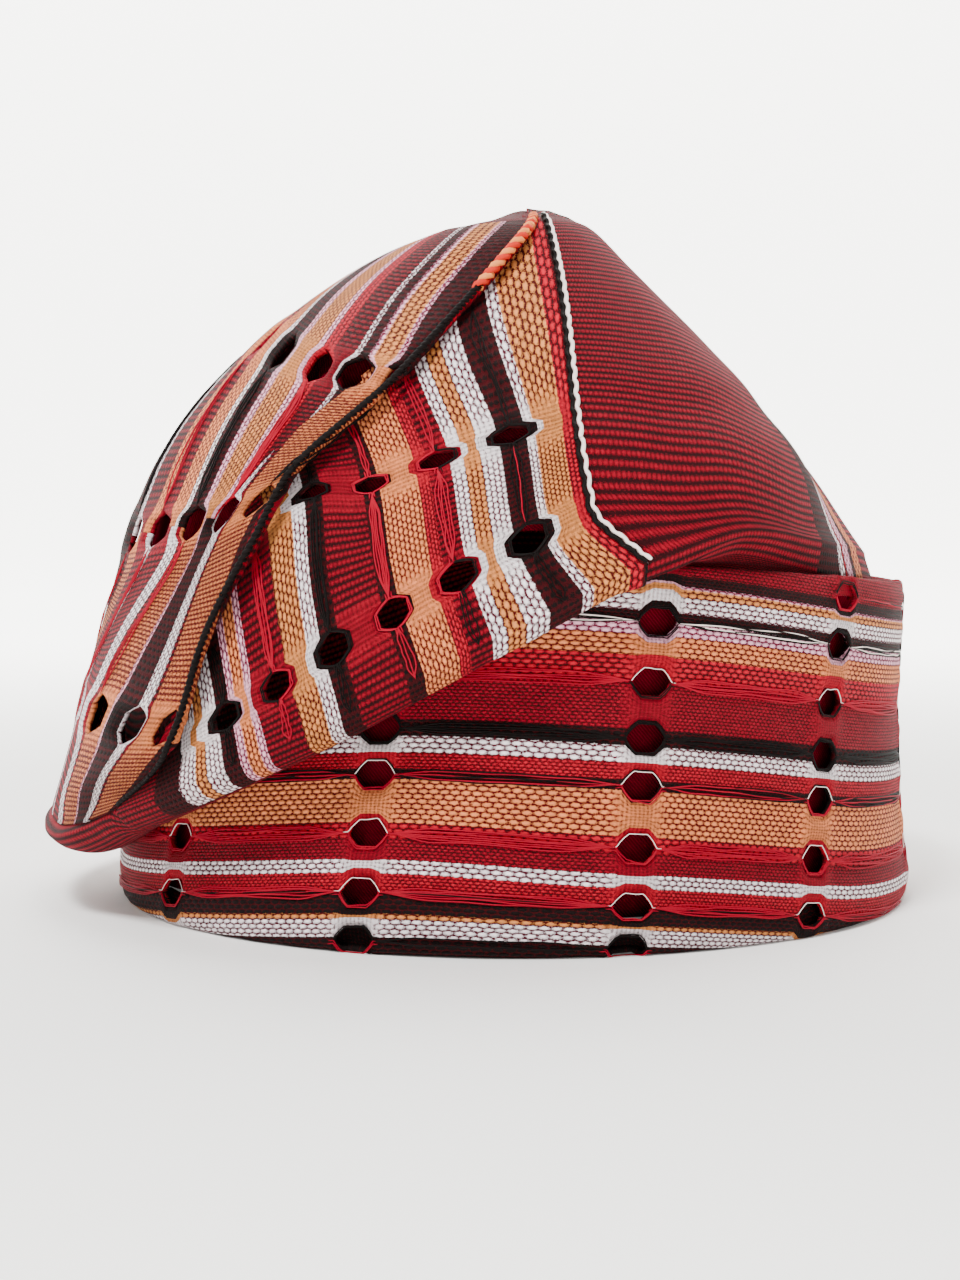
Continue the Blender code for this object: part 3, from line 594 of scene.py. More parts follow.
def woven(name, rows, low_rows=None, lens=(2.2, 1.03), rib=1.75):
    """Striped hand-woven cloth. Stripes follow v of the map "stripe", and the weave follows the map "cloth". Each
    stripe is of lens-shaped floats, of fine floats, or of ribs that cross it; where the cloth is pinched between
    two eyelets, fine threads cross it. With low_rows, those stripes hold below u = 68, and above it up to a
    line that falls from v = 10 to v = 3.8 at u = 104."""
    material = bpy.data.materials.new(name)
    material.use_nodes = True
    tree = material.node_tree
    shader = tree.nodes["Principled BSDF"]
    where = add(tree, "UVMap", uv_map="cloth").outputs[0]
    wobble = add(tree, "TexNoise", where, None, 0.22, 2.0, noise_dimensions="3D").outputs["Color"]
    wobble = add(tree, "VectorMath", wobble, (0.5, 0.5, 0.5), operation="SUBTRACT").outputs[0]
    moved = add(tree, "VectorMath", wobble, (1.2, 0.5, 0.0), operation="MULTIPLY").outputs[0]
    moved = add(tree, "VectorMath", moved, where, operation="ADD").outputs[0]
    split = add(tree, "SeparateXYZ", moved).outputs
    u, v = split[0], split[1]
    stripe = add(tree, "SeparateXYZ", add(tree, "UVMap", uv_map="stripe").outputs[0]).outputs
    place = calc(tree, "MULTIPLY_ADD", add(tree, "SeparateXYZ", wobble).outputs[1], 0.5, stripe[1])

    def looked_up(table):
        low, high = table[0][0], table[-1][0] + 30
        factor = calc(tree, "DIVIDE", calc(tree, "SUBTRACT", place, float(low)), float(high - low), clamp=True)
        picks = (lambda row: linear(COLOURS[row[1]][0]), lambda row: linear(COLOURS[row[1]][1]), lambda row: WEAVES[row[2]])
        return [stripes_ramp(tree, factor, table, pick) for pick in picks]

    top, under, kind = looked_up(rows)
    if low_rows:
        border = add(tree, "MapRange", stripe[0], 68.0, 104.0, 10.5, 3.8, clamp=True).outputs[0]
        border = calc(tree, "SUBTRACT", border, calc(tree, "MULTIPLY", calc(tree, "GREATER_THAN", stripe[0], 106.0), 99.0))
        is_low = calc(tree, "MAXIMUM", calc(tree, "LESS_THAN", stripe[0], 68.0), calc(tree, "LESS_THAN", stripe[1], border))
        top, under, kind = [tint(tree, is_low, a, b) for a, b in zip((top, under, kind), looked_up(low_rows))]
    kind = add(tree, "SeparateColor", kind).outputs
    pinch = add(tree, "Attribute", attribute_name="pinch", attribute_type="GEOMETRY").outputs["Fac"]
    big, chance = floats(tree, u, v, *lens)
    small, small_chance = floats(tree, u, v, 1.3, 0.68)
    per_rib = calc(tree, "MULTIPLY_ADD", kind[2], 1 / 1.1 - 1 / rib, 1 / rib)
    count = calc(tree, "MULTIPLY", u, per_rib)
    wave = calc(tree, "ABSOLUTE", calc(tree, "SINE", calc(tree, "MULTIPLY", count, math.pi)))
    bead = calc(tree, "ABSOLUTE", calc(tree, "SINE", calc(tree, "MULTIPLY_ADD", v, math.pi / 1.05, calc(tree, "MULTIPLY", calc(tree, "FLOOR", count), 1.3))))
    ribs = calc(tree, "MULTIPLY", calc(tree, "POWER", wave, 1.6), calc(tree, "MULTIPLY_ADD", bead, 0.6, 0.4))
    height = blend(tree, kind[1], blend(tree, kind[0], small, big), ribs)
    grain = add(tree, "TexNoise", add(tree, "VectorMath", where, (1.6, 0.35, 1.0), operation="MULTIPLY").outputs[0], None, 1.6, 2.0).outputs["Fac"]
    threads = calc(tree, "MULTIPLY_ADD", calc(tree, "ABSOLUTE", calc(tree, "SINE", calc(tree, "MULTIPLY", u, math.pi / 0.9))), 0.5, 0.1)
    threads = calc(tree, "MULTIPLY_ADD", calc(tree, "ABSOLUTE", calc(tree, "SINE", calc(tree, "MULTIPLY", v, math.pi / 1.1))), 0.25, threads)
    relief = blend(tree, calc(tree, "MULTIPLY", pinch, 0.85), height, calc(tree, "MULTIPLY_ADD", grain, 0.35, threads))
    cover = add(tree, "MapRange", relief, 0.2, 0.7, 0.0, 1.0, interpolation_type="SMOOTHSTEP").outputs[0]
    colour = tint(tree, cover, under, top)
    # Painted shade and highlight: the colour is darkened where the relief is low, in the gaps between floats, and
    # lightened on their crowns; each float also gets its own random tone.
    relief_shade_and_tone = calc(tree, "MULTIPLY_ADD", relief, 0.72, 0.4)
    relief_shade_and_tone = calc(tree, "MULTIPLY", relief_shade_and_tone, calc(tree, "MULTIPLY_ADD", chance, 0.22, 0.9))
    relief_shade_grey = add(tree, "CombineColor", relief_shade_and_tone, relief_shade_and_tone, relief_shade_and_tone).outputs[0]
    colour = tint(tree, 1.0, colour, relief_shade_grey, "MULTIPLY")
    bump = add(tree, "Bump", 1.0, 0.7 * MM, None, relief)
    tree.links.new(colour, shader.inputs["Base Color"])
    tree.links.new(bump.outputs[0], shader.inputs["Normal"])
    shader.inputs["Roughness"].default_value = 0.78
    shader.inputs["Specular IOR Level"].default_value = 0.12
    return material


def twill(name, code):
    """Fine twill: narrow diagonal ribs, 0.6 mm apart."""
    material = bpy.data.materials.new(name)
    material.use_nodes = True
    tree = material.node_tree
    shader = tree.nodes["Principled BSDF"]
    split = add(tree, "SeparateXYZ", add(tree, "UVMap", uv_map="cloth").outputs[0]).outputs
    line = calc(tree, "SINE", calc(tree, "MULTIPLY", calc(tree, "ADD", split[0], split[1]), 2 * math.pi / 0.85))
    height = calc(tree, "MULTIPLY_ADD", line, 0.5, 0.5)
    colour = tint(tree, calc(tree, "MULTIPLY_ADD", height, 0.5, 0.35), linear("#120105"), linear(code))
    tree.links.new(colour, shader.inputs["Base Color"])
    tree.links.new(add(tree, "Bump", 0.7, 0.2 * MM, None, height).outputs[0], shader.inputs["Normal"])
    shader.inputs["Roughness"].default_value = 0.75
    shader.inputs["Specular IOR Level"].default_value = 0.0
    return material


def plain(name, code, roughness=0.9):
    material = bpy.data.materials.new(name)
    material.use_nodes = True
    shader = material.node_tree.nodes["Principled BSDF"]
    shader.inputs["Base Color"].default_value = linear(code)
    shader.inputs["Roughness"].default_value = roughness
    shader.inputs["Specular IOR Level"].default_value = 0.12
    return material


# ---------------------------------------------------------------- the band

BAND_AROUND = 360 * ARC
BAND_U = [(EYELET_FIRST + i * EYELET_PITCH) * ARC for i in range(12)]


def band_eyelet_lines():
    """v of each row: u of its eyelets. A row is left out where it would cross the top edge, or lie well under the rim."""
    found = {}
    for v in EYELET_ROWS:
        columns = []
        for u in BAND_U[:-1]:
            azimuth, height = band_where(u, v)
            if -0.5 < height < band_top(azimuth) - 4.0:
                columns.append(u)
        found[v] = columns
    return found


def build_band():
    marks = []
    for u in BAND_U[:-1]:
        marks += [u + EYELET_HALF[0] * share for share in (-1.6, -1, -0.48, 0.48, 1, 1.6)]
    u = steps(np.array(marks + [marks[0] + BAND_AROUND]), 1.7, 0.75)[:-1]
    v = steps(np.array([-12.0, *EYELET_ROWS, 94.0]), 1.15)

    def keep(U, V):
        azimuth, height = band_where(U, V)
        return (height > -8.5) & (height < band_top(azimuth) + 5)

    band = cloth("band_cloth", u, v, band_eyelet_lines(), band_place, keep=keep, closed=BAND_AROUND)
    thicken(band, 1.3)
    finish_piece(band, woven("striped openwork cotton, band", BAND_STRIPES), ("band",))


def ring(name, rows, azimuths, surface, ribs=0.0):
    """A closed ring of cloth from a function that gives points at (azimuth, row). With ribs, a row is that many
    millimetres, and the ribs of its cloth run round it."""
    A, R = np.meshgrid(azimuths, rows)
    P = surface(A, R)
    count = len(azimuths)
    ids = np.arange(A.size).reshape(A.shape)
    right = np.roll(ids, -1, axis=1)
    faces = np.stack([ids[:-1], right[:-1], right[1:], ids[1:]], -1).reshape(-1, 4)
    U = A * ARC
    step = 360 * ARC / count
    uvs = np.stack([np.stack([U[:-1], U[:-1] + step, U[1:] + step, U[1:]], -1), np.stack([R[:-1], R[:-1], R[1:], R[1:]], -1)], -1).reshape(-1, 4, 2)
    if ribs:
        uvs = uvs[..., ::-1] * np.array([ribs, 1.0])
    return mesh_object(name, P.reshape(-1, 3), faces, {"cloth": uvs, "stripe": uvs})


def build_linings():
    lining = twill("maroon lining twill", "#78001C")
    azimuths = np.arange(0, 360, 2.5)
    shares = np.linspace(0.093, 0.945, 16)
    band = ring("band_lining_cloth", shares * 75, azimuths, lambda A, R: turned(A, band_inside(A, R / 75 * band_top(A)) - GAP - 1.2, R / 75 * band_top(A)))
    thicken(band, 1.0)
    finish_piece(band, lining, ("band_lining",))

    def crown_surface(A, R):
        start = np.maximum(hem(A)[1] + HEM_FOLD, band_top(A)) + 3.5 * CLOTH
        low = hem(A)[1] + HEM_FOLD
        height = start + R / 80 * (CROWN_HEIGHT - 1.35 * (CLOTH + LINING_EASE) - start)
        share = np.clip((height - low) / (CROWN_HEIGHT - low), 0, 1)
        P = crown_point(A, share, 0)
        Q = crown_point(A + 0.5, share, 0) - P
        W = crown_point(A, share + 0.004, 0) - P
        out = np.cross(Q, W)
        out /= np.maximum(np.linalg.norm(out, axis=-1, keepdims=True), 1e-9)
        return P - out * (CLOTH + LINING_EASE)

    crown = ring("crown_lining_cloth", np.linspace(0, 79, 30), azimuths, crown_surface)
    thicken(crown, 1.0)
    finish_piece(crown, lining, ("crown_lining",))


# ---------------------------------------------------------------- the crown

FLAP_LEVELS = (0, 15, 46, 78)
FLAP_LINES = [k * FLAP_LINE for k in (-2, -1, 0, 1, 2, 3, 4, 5, 6)]
FLAP_MAP = line_map(
    FLAP_LEVELS, FLAP_LINES,
    (
        (-52, -42.5, -33, -25.7, -18.7, -11.4, -4.4, 5.2, 15),
        (-52, -43, -35, -28, -21, -14, -7, 1, 8),
        (-62, -52, -42, -34, -26, -18, -10, -1, 7),
        (-70, -60, -49, -42, -36, -29, -22, -12, 8),
    ),
    (
        (0,) * 9,
        (33, 41, 48.7, 55.5, 63.4, 70.8, 78.1, 85.6, 92),
        (62, 70, 78, 86, 95, 96, 101, 106, 110),
        (78, 86, 96, 104, 112, 121, 132, 146, 156),
    ),
)

LEFT_LEVELS = (0, 24, 68, 104, 122, 140)
LEFT_LINES = [j * LEFT_LINE for j in (-1, 0, 0.5, 1, 2, 3, 4, 5.5, 7.5, 10)]
LEFT_MAP = line_map(
    LEFT_LEVELS, LEFT_LINES,
    (
        (-53, -57, -59.2, -61.5, -67, -76, -88, -108, -140, -180),
        (-36, -41.5, -44.7, -48, -60, -76, -92, -114, -142, -180),
        (-27, -32, -34.5, -37, -43, -53, -68, -92, -130, -180),
        (-5, -15.5, -23, -30.5, -43, -58, -74, -98, -134, -180),
        (2, -12, -21, -31, -47, -63, -80, -102, -136, -180),
        (14, 0, -13, -26, -48, -66, -84, -106, -138, -180),
    ),
    (
        (0,) * 10,
        (46, 46, 45.8, 45.7, 46.5, 47, 48, 55, 66, 92),
        (96, 93, 91.5, 90, 88, 86.5, 85, 86, 92, 108),
        (117, 118, 119, 121, 125, 129, 130, 131, 132, 134),
        (134, 135, 136, 138, 141, 144, 145, 145, 145, 146),
        (152, 153.5, 153, 153.5, 155, 156, 157, 158, 158, 158),
    ),
)

RIGHT_LEVELS = (0, 14, 22, 36, 58, 92)
RIGHT_LINES = (-6, 0, 27, 54, 75, 110, 150, 190)
RIGHT_MAP = line_map(
    RIGHT_LEVELS, RIGHT_LINES,
    (
        (10, 15, 29, 45, 60, 95, 140, 181),
        (6, 10, 26, 44, 60, 95, 140, 181),
        (3, 7, 24, 43.5, 60, 95, 140, 181),
        (2, 7, 23.5, 43, 60, 95, 140, 181),
        (1, 7, 23, 42.5, 60, 95, 140, 181),
        (0, 8, 23, 42, 60, 95, 140, 181),
    ),
    (
        (0,) * 8,
        (90, 90, 91, 87, 85.5, 84, 87, 94),
        (97, 97, 96.5, 91.5, 89.5, 89, 92, 100),
        (110, 110, 108, 101, 98, 98, 104, 112),
        (129, 129, 128, 123, 120, 121, 126, 130),
        (157, 158, 159, 159, 159, 159, 159, 159),
    ),
)

FLAP_HALVES = {15: (3.3, 3.5), 46: (2.0, 3.6)}  # half sizes of the eyelets in each row of the flap
LEFT_HALVES = {24: (4.3, 2.7), 68: (4.0, 3.1), 104: (4.0, 1.7)}


def crown_place(mapped, side):
    def place(u, v):
        return crown_point(*mapped(u, v), side)

    return place


def build_crown():
    flap_eyelets = {k * FLAP_LINE: [c for c in (15.0, 46.0) if not (c == 46.0 and k < 2) and not (c == 15.0 and k == 6)] for k in (-1, 0, 1, 2, 3, 4, 5)}
    flap_eyelets[-FLAP_LINE] = []

    def flap_keep(U, V):
        azimuth, share = FLAP_MAP(U, V)
        edge = pleat_azimuth(np.clip(share, 0, 1))
        return (azimuth > edge - 7 - 20 * np.clip(share - 0.8, 0, 1)) & (share < 0.985)

    u = steps(np.array([-7.0, 0, 8, *(c + FLAP_HALVES[c][0] * d for c in (15, 46) for d in (-1.8, -1, -0.48, 0.48, 1, 1.8)), 78]), 1.2, 0.7)
    v = steps(np.array([-2 * FLAP_LINE, *sorted(flap_eyelets), 6.05 * FLAP_LINE]), 1.05)
    flap = cloth("crown_flap", u, v, flap_eyelets, crown_place(FLAP_MAP, 1), flip=True, keep=flap_keep, lift=lambda U, V: 0.9 * ease((V / FLAP_LINE - 5.6) / 0.4), halves=FLAP_HALVES)
    thicken(flap, 1.4)
    finish_piece(flap, woven("striped openwork cotton, front flap", FLAP_STRIPES, lens=(1.75, 1.0), rib=1.5), ("crown",))

    left_eyelets = {j * LEFT_LINE: [24.0, 68.0, 104.0] for j in (0, 1, 2, 3, 4, 5.5, 7)}
    left_eyelets[5.0] = [104.0]

    def beyond_pleat(U, V):
        """Where the left face's cloth lies, how far past the pleat's edge in millimetres, and the edge's azimuth."""
        azimuth, share = LEFT_MAP(U, V)
        edge = fold_azimuth(np.clip(share, 0, 1))
        reach = np.linalg.norm(crown_point(edge, share, -1)[..., :2], axis=-1)
        return azimuth, share, (azimuth - edge) * np.pi / 180 * reach, edge

    def left_place(U, V):
        """Past the pleat's edge the cloth turns under on a half circle of 1.5 mm and lies back against itself."""
        azimuth, share, past, edge = beyond_pleat(U, V)
        point = crown_point(np.minimum(azimuth, edge), share, -1)
        around = crown_point(np.minimum(azimuth, edge) - 0.5, share, -1) - point
        up = crown_point(np.minimum(azimuth, edge), np.clip(share + 0.004, -90, 1), -1) - point
        around /= -np.maximum(np.linalg.norm(around, axis=-1, keepdims=True), 1e-9)
        out = np.cross(around, up)
        out /= np.maximum(np.linalg.norm(out, axis=-1, keepdims=True), 1e-9)
        past = np.maximum(past, 0)[..., None]
        turn = np.clip(past / 1.5, 0, math.pi)
        return point + around * (1.5 * np.sin(turn) - np.maximum(past - 1.5 * math.pi, 0)) - out * 1.5 * (1 - np.cos(turn))

    def left_keep(U, V):
        azimuth, share, past, edge = beyond_pleat(U, V)
        return (past < 9) & (share < 0.985)

    u = steps(np.array([2.5, *(c + EYELET_HALF[0] * d for c in (24, 68, 104) for d in (-1.5, -1, -0.48, 0.48, 1, 1.5)), 140]), 1.35, 0.8)
    v = steps(np.array([-LEFT_LINE, *sorted(left_eyelets), 100.0]), 0.9)

    left = cloth("crown_left_face", u, v, left_eyelets, left_place, keep=left_keep, halves=LEFT_HALVES)
    thicken(left, 1.1)
    finish_piece(left, woven("striped openwork cotton, left face", LEFT_STRIPES, LEFT_LOW_STRIPES, lens=(1.6, 0.72), rib=1.5))

    u = steps(np.array([-7.0, 0, 92]), 1.3)
    v = steps(np.array([-3.0, 60, 190]), 1.3)
    right = cloth("crown_right_side", u, v, {300.0: []}, crown_place(RIGHT_MAP, 1), flip=True)
    thicken(right, 1.4)
    finish_piece(right, woven("ribbed red cotton and stripes, right side", RIGHT_STRIPES, rib=1.85))

    def turned_edge(A, R):
        """From inside the band's mouth over and round the hem, to 3 mm short of its outermost line, 0.6 mm under
        the flap. On the left it runs on for 8 mm as a soft roll, 1.2 mm proud, and ends under the left face."""
        turn = (A + 180) % 360 - 180
        left = ease((-turn - 48) / 7) + ease((turn - 168) / 12)
        roll = ease((-turn - 58) / 8) + ease((turn - 168) / 12)
        past = 0.94 * R * np.interp(turn, AZIMUTHS, EDGE_LENGTH) + (1 + R) * (8.0 * left - 3.0)
        point = crown_point(A, np.where(past < 0, past, past / (CROWN_HEIGHT - hem(A)[1] - HEM_FOLD)), 1)
        proud = 1.2 * roll * np.exp(-(((past + 1) / 3) ** 2)) - 0.9 * left * ease((past - 1.5) / 1.5)
        proud = proud - 0.6 * (1 - roll) * ease((past + 12) / 4)
        point[..., :2] *= (1 + proud / np.linalg.norm(point[..., :2], axis=-1))[..., None]
        return point

    turn = ring("crown_turned_edge", np.linspace(-1, 0, 70), np.arange(-180, 180, 1.5), turned_edge, 95.0)
    finish_piece(turn, woven("ribbed red cotton, turned edge", ((-500, "red", "rib"), (500, "red", "rib"))))
    top = ring("crown_ridge", np.linspace(0.93, 1, 10), np.arange(-180, 180, 3.0), lambda A, R: crown_point(A, R, 0) - np.array([0, 0, 0.5]), 500.0)
    thicken(top, 1.0)
    finish_piece(top, woven("ribbed red cotton, ridge", ((-500, "red", "rib"), (500, "red", "rib"))))
    return left_place


# ---------------------------------------------------------------- loose threads and cords

POINTS = 30  # points along each thread
THREADS = {name: [] for name in ("red", "black", "white", "tan", "coral")}


def tubes(name, paths, normals, radii, sides=5):
    """Round threads about paths (threads, points, 3). With d the direction, n the normal and s = d x n, a ring is
    path + radius (cos w s + sin w n)."""
    along = np.gradient(paths, axis=1)
    across = np.cross(along, normals)
    across /= np.maximum(np.linalg.norm(across, axis=-1, keepdims=True), 1e-9)
    outward = np.cross(across, along)
    outward /= np.maximum(np.linalg.norm(outward, axis=-1, keepdims=True), 1e-9)
    w = np.arange(sides) * 2 * math.pi / sides
    rings = paths[:, :, None] + radii[..., None, None] * (np.cos(w)[:, None] * across[:, :, None] + np.sin(w)[:, None] * outward[:, :, None])
    ids = np.arange(rings.size // 3).reshape(rings.shape[:3])
    after = np.roll(ids, -1, axis=2)
    faces = np.stack([ids[:, :-1], after[:, :-1], after[:, 1:], ids[:, 1:]], -1).reshape(-1, 4)
    return mesh_object(name, rings.reshape(-1, 3), faces)


def surface(place, U, V, sign=1):
    """Points of a cloth and the outward normals there."""
    P = place(U, V)
    N = np.cross(place(U + 0.2, V) - P, place(U, V + 0.2) - P)
    return P, sign * N / np.maximum(np.linalg.norm(N, axis=-1, keepdims=True), 1e-9)


def lay(colour, place, sign, U, V, lift, radius=0.25):
    """Threads on a cloth at (U, V), each (threads, points), a little above it; thinner at their ends."""
    P, N = surface(place, U, V, sign)
    P[..., 2] = np.maximum(P[..., 2], 0.45)
    t = np.linspace(0, 1, POINTS)
    taper = radius * (0.35 + 0.65 * np.clip(np.minimum(t, 1 - t) * 12, 0, 1)) + 0 * U
    THREADS[colour].append((P + N * (lift + 0 * U)[..., None], N, taper))


def waves(count, size):
    """Seeded slow waves along the threads: the sum of three sines of falling size."""
    t = np.linspace(0, 1, POINTS)
    return size * sum(RANDOM.normal(0, 1 / n, (count, 1)) * np.sin(2 * math.pi * (n * t + RANDOM.random((count, 1)))) for n in (1, 2, 4))


def bundle(colour, place, sign, start, end, count, fan=1.1, lift=0.28, radius=0.16):
    """Threads from one corner of an eyelet to the corner of the next. They leave a corner together and spread by
    fan to each side of the straight line over the first and last fifth."""
    t = np.linspace(0, 1, POINTS)
    open_out = ease(t / 0.22) * ease((1 - t) / 0.22)
    where = np.linspace(-1, 1, count)[:, None] if count > 1 else np.zeros((1, 1))
    drift = where * fan * open_out + waves(count, 0.16) * open_out
    U = start[0] + (end[0] - start[0]) * t + 0 * drift
    V = start[1] + (end[1] - start[1]) * t + drift
    lay(colour, place, sign, U, V, lift + waves(count, 0.08) * open_out, radius)


def arch(colour, place, sign, u, v, side, count=3, reach=3.2, radius=0.24, half=EYELET_HALF):
    """Threads over the top of an eyelet (side 1) or under it (side -1) that run on past its corners."""
    end = half[0] + reach
    away = np.linspace(-end, end, POINTS)[None] + waves(count, 0.2)
    number = np.arange(count)[:, None]
    V = v + side * (half[1] * eyelet_outline(away / half[0]) ** 0.8 + 0.05 + 0.34 * number * (1 + 0.8 * np.abs(away / end) ** 2))
    lay(colour, place, sign, u + away, V + waves(count, 0.1), 0.25 + 0.08 * number, radius)


def rope(colours, P, N, across, pitch=2.6, half=0.5, radius=0.5, share=(0, 1)):
    """Two threads twisted about a path: at length s the first is at half (cos w across + sin w normal), with
    w = 2 pi s / pitch, and the second is opposite."""
    s = np.concatenate([[0], np.cumsum(np.linalg.norm(np.diff(P, axis=0), axis=-1))])
    pieces = max(1, int(s[-1] / 14))
    for n in range(pieces):
        at = np.linspace(s[-1] * n / pieces, s[-1] * (n + 1) / pieces, POINTS)
        p, m, c = [np.stack([np.interp(at, s, A[:, i]) for i in range(3)], -1) for A in (P, N, across)]
        for k, colour in enumerate(colours):
            w = 2 * math.pi * at[:, None] / pitch + k * math.pi
            swell = radius * (0.78 + 0.3 * np.abs(np.sin(w[:, 0])))
            THREADS[colour].append(((p + half * (np.cos(w) * c + np.sin(w) * m))[None], m[None], swell[None]))


def band_threads():
    rows = {
        13.8: (("red", 6, 1.1), ("black", 1, 0.3)), 25.8: (("red", 7, 1.3),), 37.8: (("red", 3, 0.8), ("black", 3, 1.0)),
        47.2: (("black", 6, 1.1),), 58.4: (("red", 7, 1.3),), 70.8: (("black", 4, 0.8), ("white", 2, 0.5)),
        81.6: (("red", 1, 0.4), ("black", 1, 0.4)), 3.8: (("black", 2, 0.7),),
    }
    whites, blacks = (13.8, 25.8, 37.8, 58.4), (47.2, 58.4, 70.8)
    lines = band_eyelet_lines()
    for v, sets in rows.items():
        held = lines[v]
        for n, u in enumerate(BAND_U[:-1]):
            if u not in held:
                continue
            follow = BAND_U[n + 1]
            if (follow in held) or (n == 10 and BAND_U[0] in held):
                for colour, count, fan in sets:
                    bundle(colour, band_place, 1, (u + EYELET_HALF[0] - 0.3, v), (follow - EYELET_HALF[0] + 0.3, v), count, fan)
            if v in whites:
                arch("white", band_place, 1, u, v, 1, 1, 2.0, 0.09)
            else:
                arch("black", band_place, 1, u, v, 1, 2, 1.0, 0.13)
            arch("black" if v in blacks else "red", band_place, 1, u, v, -1, 2, 1.4, 0.13)


def crown_threads(left_place):
    place = crown_place(FLAP_MAP, 1)
    for k, colour, top, count in ((0, "black", 30, 4), (1, "red", 43, 5), (2, "black", 44, 5), (3, "red", 44, 6), (4, "red", 44, 5), (5, "black", 44, 4)):
        v = k * FLAP_LINE
        bundle(colour, place, -1, (18.0, v), (top, v), count, 1.1)
        bundle("red" if k in (1, 3) else "black", place, -1, (12.0, v), (0.5, v), 3, 0.8, radius=0.15)
        if k > 1:
            bundle(colour, place, -1, (48.0, v), (59.0 + 2 * k, v + 0.4), 3, 0.6, radius=0.15)
    bundle("red", place, -1, (18.0, 5 * FLAP_LINE), (44.0, 5 * FLAP_LINE), 1, 0.0)
    for j, low, high in ((0, "", "black"), (1, "", "red"), (2, "red", "black"), (3, "red", "red"), (4, "red", "black")):
        v = j * LEFT_LINE
        if low:
            bundle(low, left_place, 1, (28.0, v), (64.0, v), 3, 0.7, radius=0.16)
        bundle(high, left_place, 1, (72.0, v), (100.0, v), 6 if j == 1 else 3, 0.7, radius=0.18)
    for u in (15.0, 46.0):
        for k in (0, 1, 2, 3, 4, 5):
            if u == 46.0 and k < 2:
                continue
            colour = ("black", "black", "black", "red", "red", "black")[k]
            half = FLAP_HALVES[u]
            arch(colour, place, -1, u, k * FLAP_LINE, -1, 2, 1.4, 0.16, half)
            arch(("black", "red", "black", "red", "black", "black")[k], place, -1, u, k * FLAP_LINE, 1, 2, 1.4, 0.16, half)
    share = np.linspace(0.015, 0.95, 400)
    for colours, held, size in ((("black", "black"), share < 0.78, 0.5), (("coral", "tan"), share >= 0.77, 0.72)):
        s = share[held]
        azimuth = fold_azimuth(s)
        P = crown_point(azimuth, s, -1)
        back = crown_point(azimuth - 0.6, s, -1) - P
        up = crown_point(azimuth, s + 0.003, -1) - P
        back /= np.linalg.norm(back, axis=-1, keepdims=True)
        N = np.cross(up, back)
        N /= np.linalg.norm(N, axis=-1, keepdims=True)
        rope(colours, P - back * 1.2 - N * 0.3, N, back, 5.6 * size, 0.9 * size, size)
    u = np.linspace(0.5, 77, 300)
    P, N = surface(place, u, 0 * u + 5.99 * FLAP_LINE, -1)
    Q = place(u, 0 * u + 6.1 * FLAP_LINE) - P
    Q /= np.linalg.norm(Q, axis=-1, keepdims=True)
    rope(("white",), P + N * 1.0 + Q * 0.7, N, Q, 3.6, 0.22, 0.5)
    rope(("black",), P + N * 1.1 - Q * 0.4, N, Q, 3.6, 0.25, 0.5)


def build_threads():
    for colour, code in (("red", "#9C0022"), ("black", "#0C0605"), ("white", "#FFEEE6"), ("tan", "#E48848"), ("coral", "#C42C1A")):
        parts = THREADS[colour]
        if not parts:
            continue
        paths, normals, radii = [np.concatenate([part[i] for part in parts]) for i in range(3)]
        obj = tubes("threads_" + colour, paths, normals, radii)
        finish_piece(obj, plain(colour + " cotton thread", code, 0.7))


# ---------------------------------------------------------------- stage, light and camera


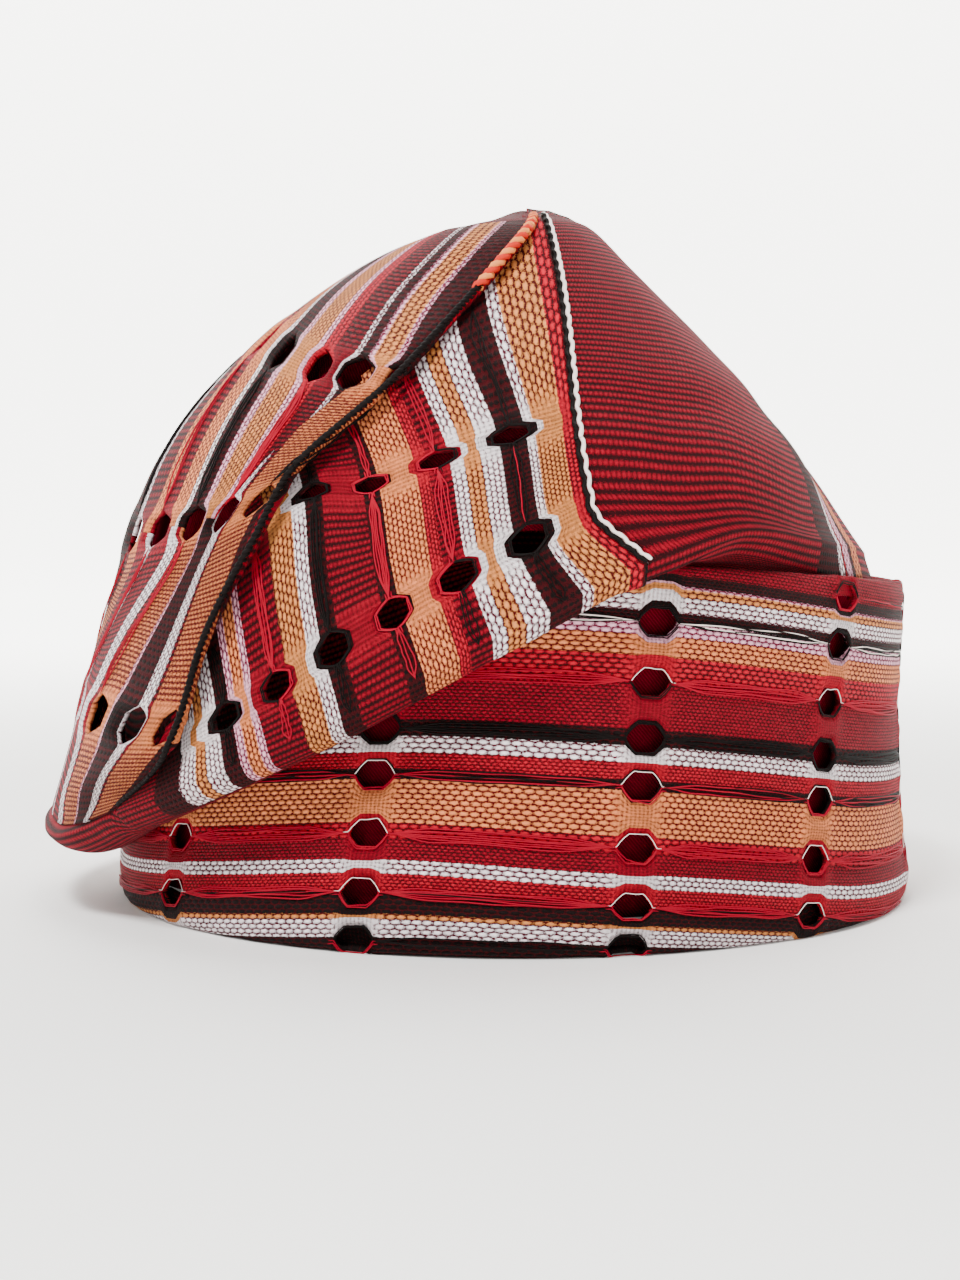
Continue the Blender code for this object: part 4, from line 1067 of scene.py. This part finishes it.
def build_stage():
    """A pale seamless sweep: a floor that curves up into a backdrop. The paper glows as painted light, dim near the cap
    as a painted pool of shadow under it.
    """
    profile = [(-3.0, 0.0), (1.6, 0.0)] + [(1.6 + 0.8 * math.sin(t), 0.8 - 0.8 * math.cos(t)) for t in np.linspace(0.1, math.pi / 2, 14)] + [(2.4, 4.0)]
    points = np.array([(x, y, z) for x in (-4, 4) for y, z in profile]) / MM
    n = len(profile)
    faces = np.array([[i, n + i, n + i + 1, i + 1] for i in range(n - 1)])
    sweep = mesh_object("sweep", points, faces)
    paper = plain("studio paper", "#F8F7F4", 0.95)
    paper.node_tree.nodes["Principled BSDF"].inputs["Emission Color"].default_value = linear("#FFFEFA")
    tree = paper.node_tree
    # Painted light: the paper's glow grows from 0.1 within 0.16 m of the origin to 4.2 at 1 m, a painted shadow under
    # the cap and a near-white backdrop.
    away = add(tree, "VectorMath", add(tree, "TexCoord").outputs["Object"], operation="LENGTH").outputs["Value"]
    shadow_pool_glow = add(tree, "MapRange", away, 0.16, 1.0, 0.1, 4.2, interpolation_type="SMOOTHSTEP").outputs[0]
    tree.links.new(shadow_pool_glow, tree.nodes["Principled BSDF"].inputs["Emission Strength"])
    sweep.data.materials.append(paper)
    world = bpy.data.worlds.new("studio")
    world.use_nodes = True
    world.node_tree.nodes["Background"].inputs["Color"].default_value = linear("#FFFDFB")
    world.node_tree.nodes["Background"].inputs["Strength"].default_value = 0.22
    bpy.context.scene.world = world
    for name, power, size, place, aim in (
        ("key", 48.0, 0.4, (-0.45, -0.9, 1.5), (0, 0, 0.08)),
        ("fill", 5.0, 1.2, (1.2, -0.9, 0.6), (0, 0, 0.08)),
        ("top", 16.0, 1.0, (0.1, 0.3, 1.5), (0, 0, 0.1)),
    ):
        light = bpy.data.lights.new(name, "AREA")
        light.energy, light.size, light.shape = power, size, "SQUARE"
        obj = bpy.data.objects.new(name, light)
        obj.location = place
        direction = np.array(place) - np.array(aim)
        flat = math.hypot(direction[0], direction[1])
        obj.rotation_euler = (math.atan2(flat, direction[2]), 0, math.atan2(direction[0], -direction[1]))
        bpy.context.scene.collection.objects.link(obj)


def build_camera():
    camera = bpy.data.cameras.new("camera")
    camera.lens, camera.sensor_width = 66.9, 36.0
    obj = bpy.data.objects.new("camera", camera)
    obj.location = (-0.0079, -0.570, 0.095)
    obj.rotation_euler = (math.radians(90 - 3.6), 0, 0)
    bpy.context.scene.collection.objects.link(obj)
    bpy.context.scene.camera = obj


build_band()
build_linings()
band_threads()
crown_threads(build_crown())
build_threads()
build_stage()
build_camera()
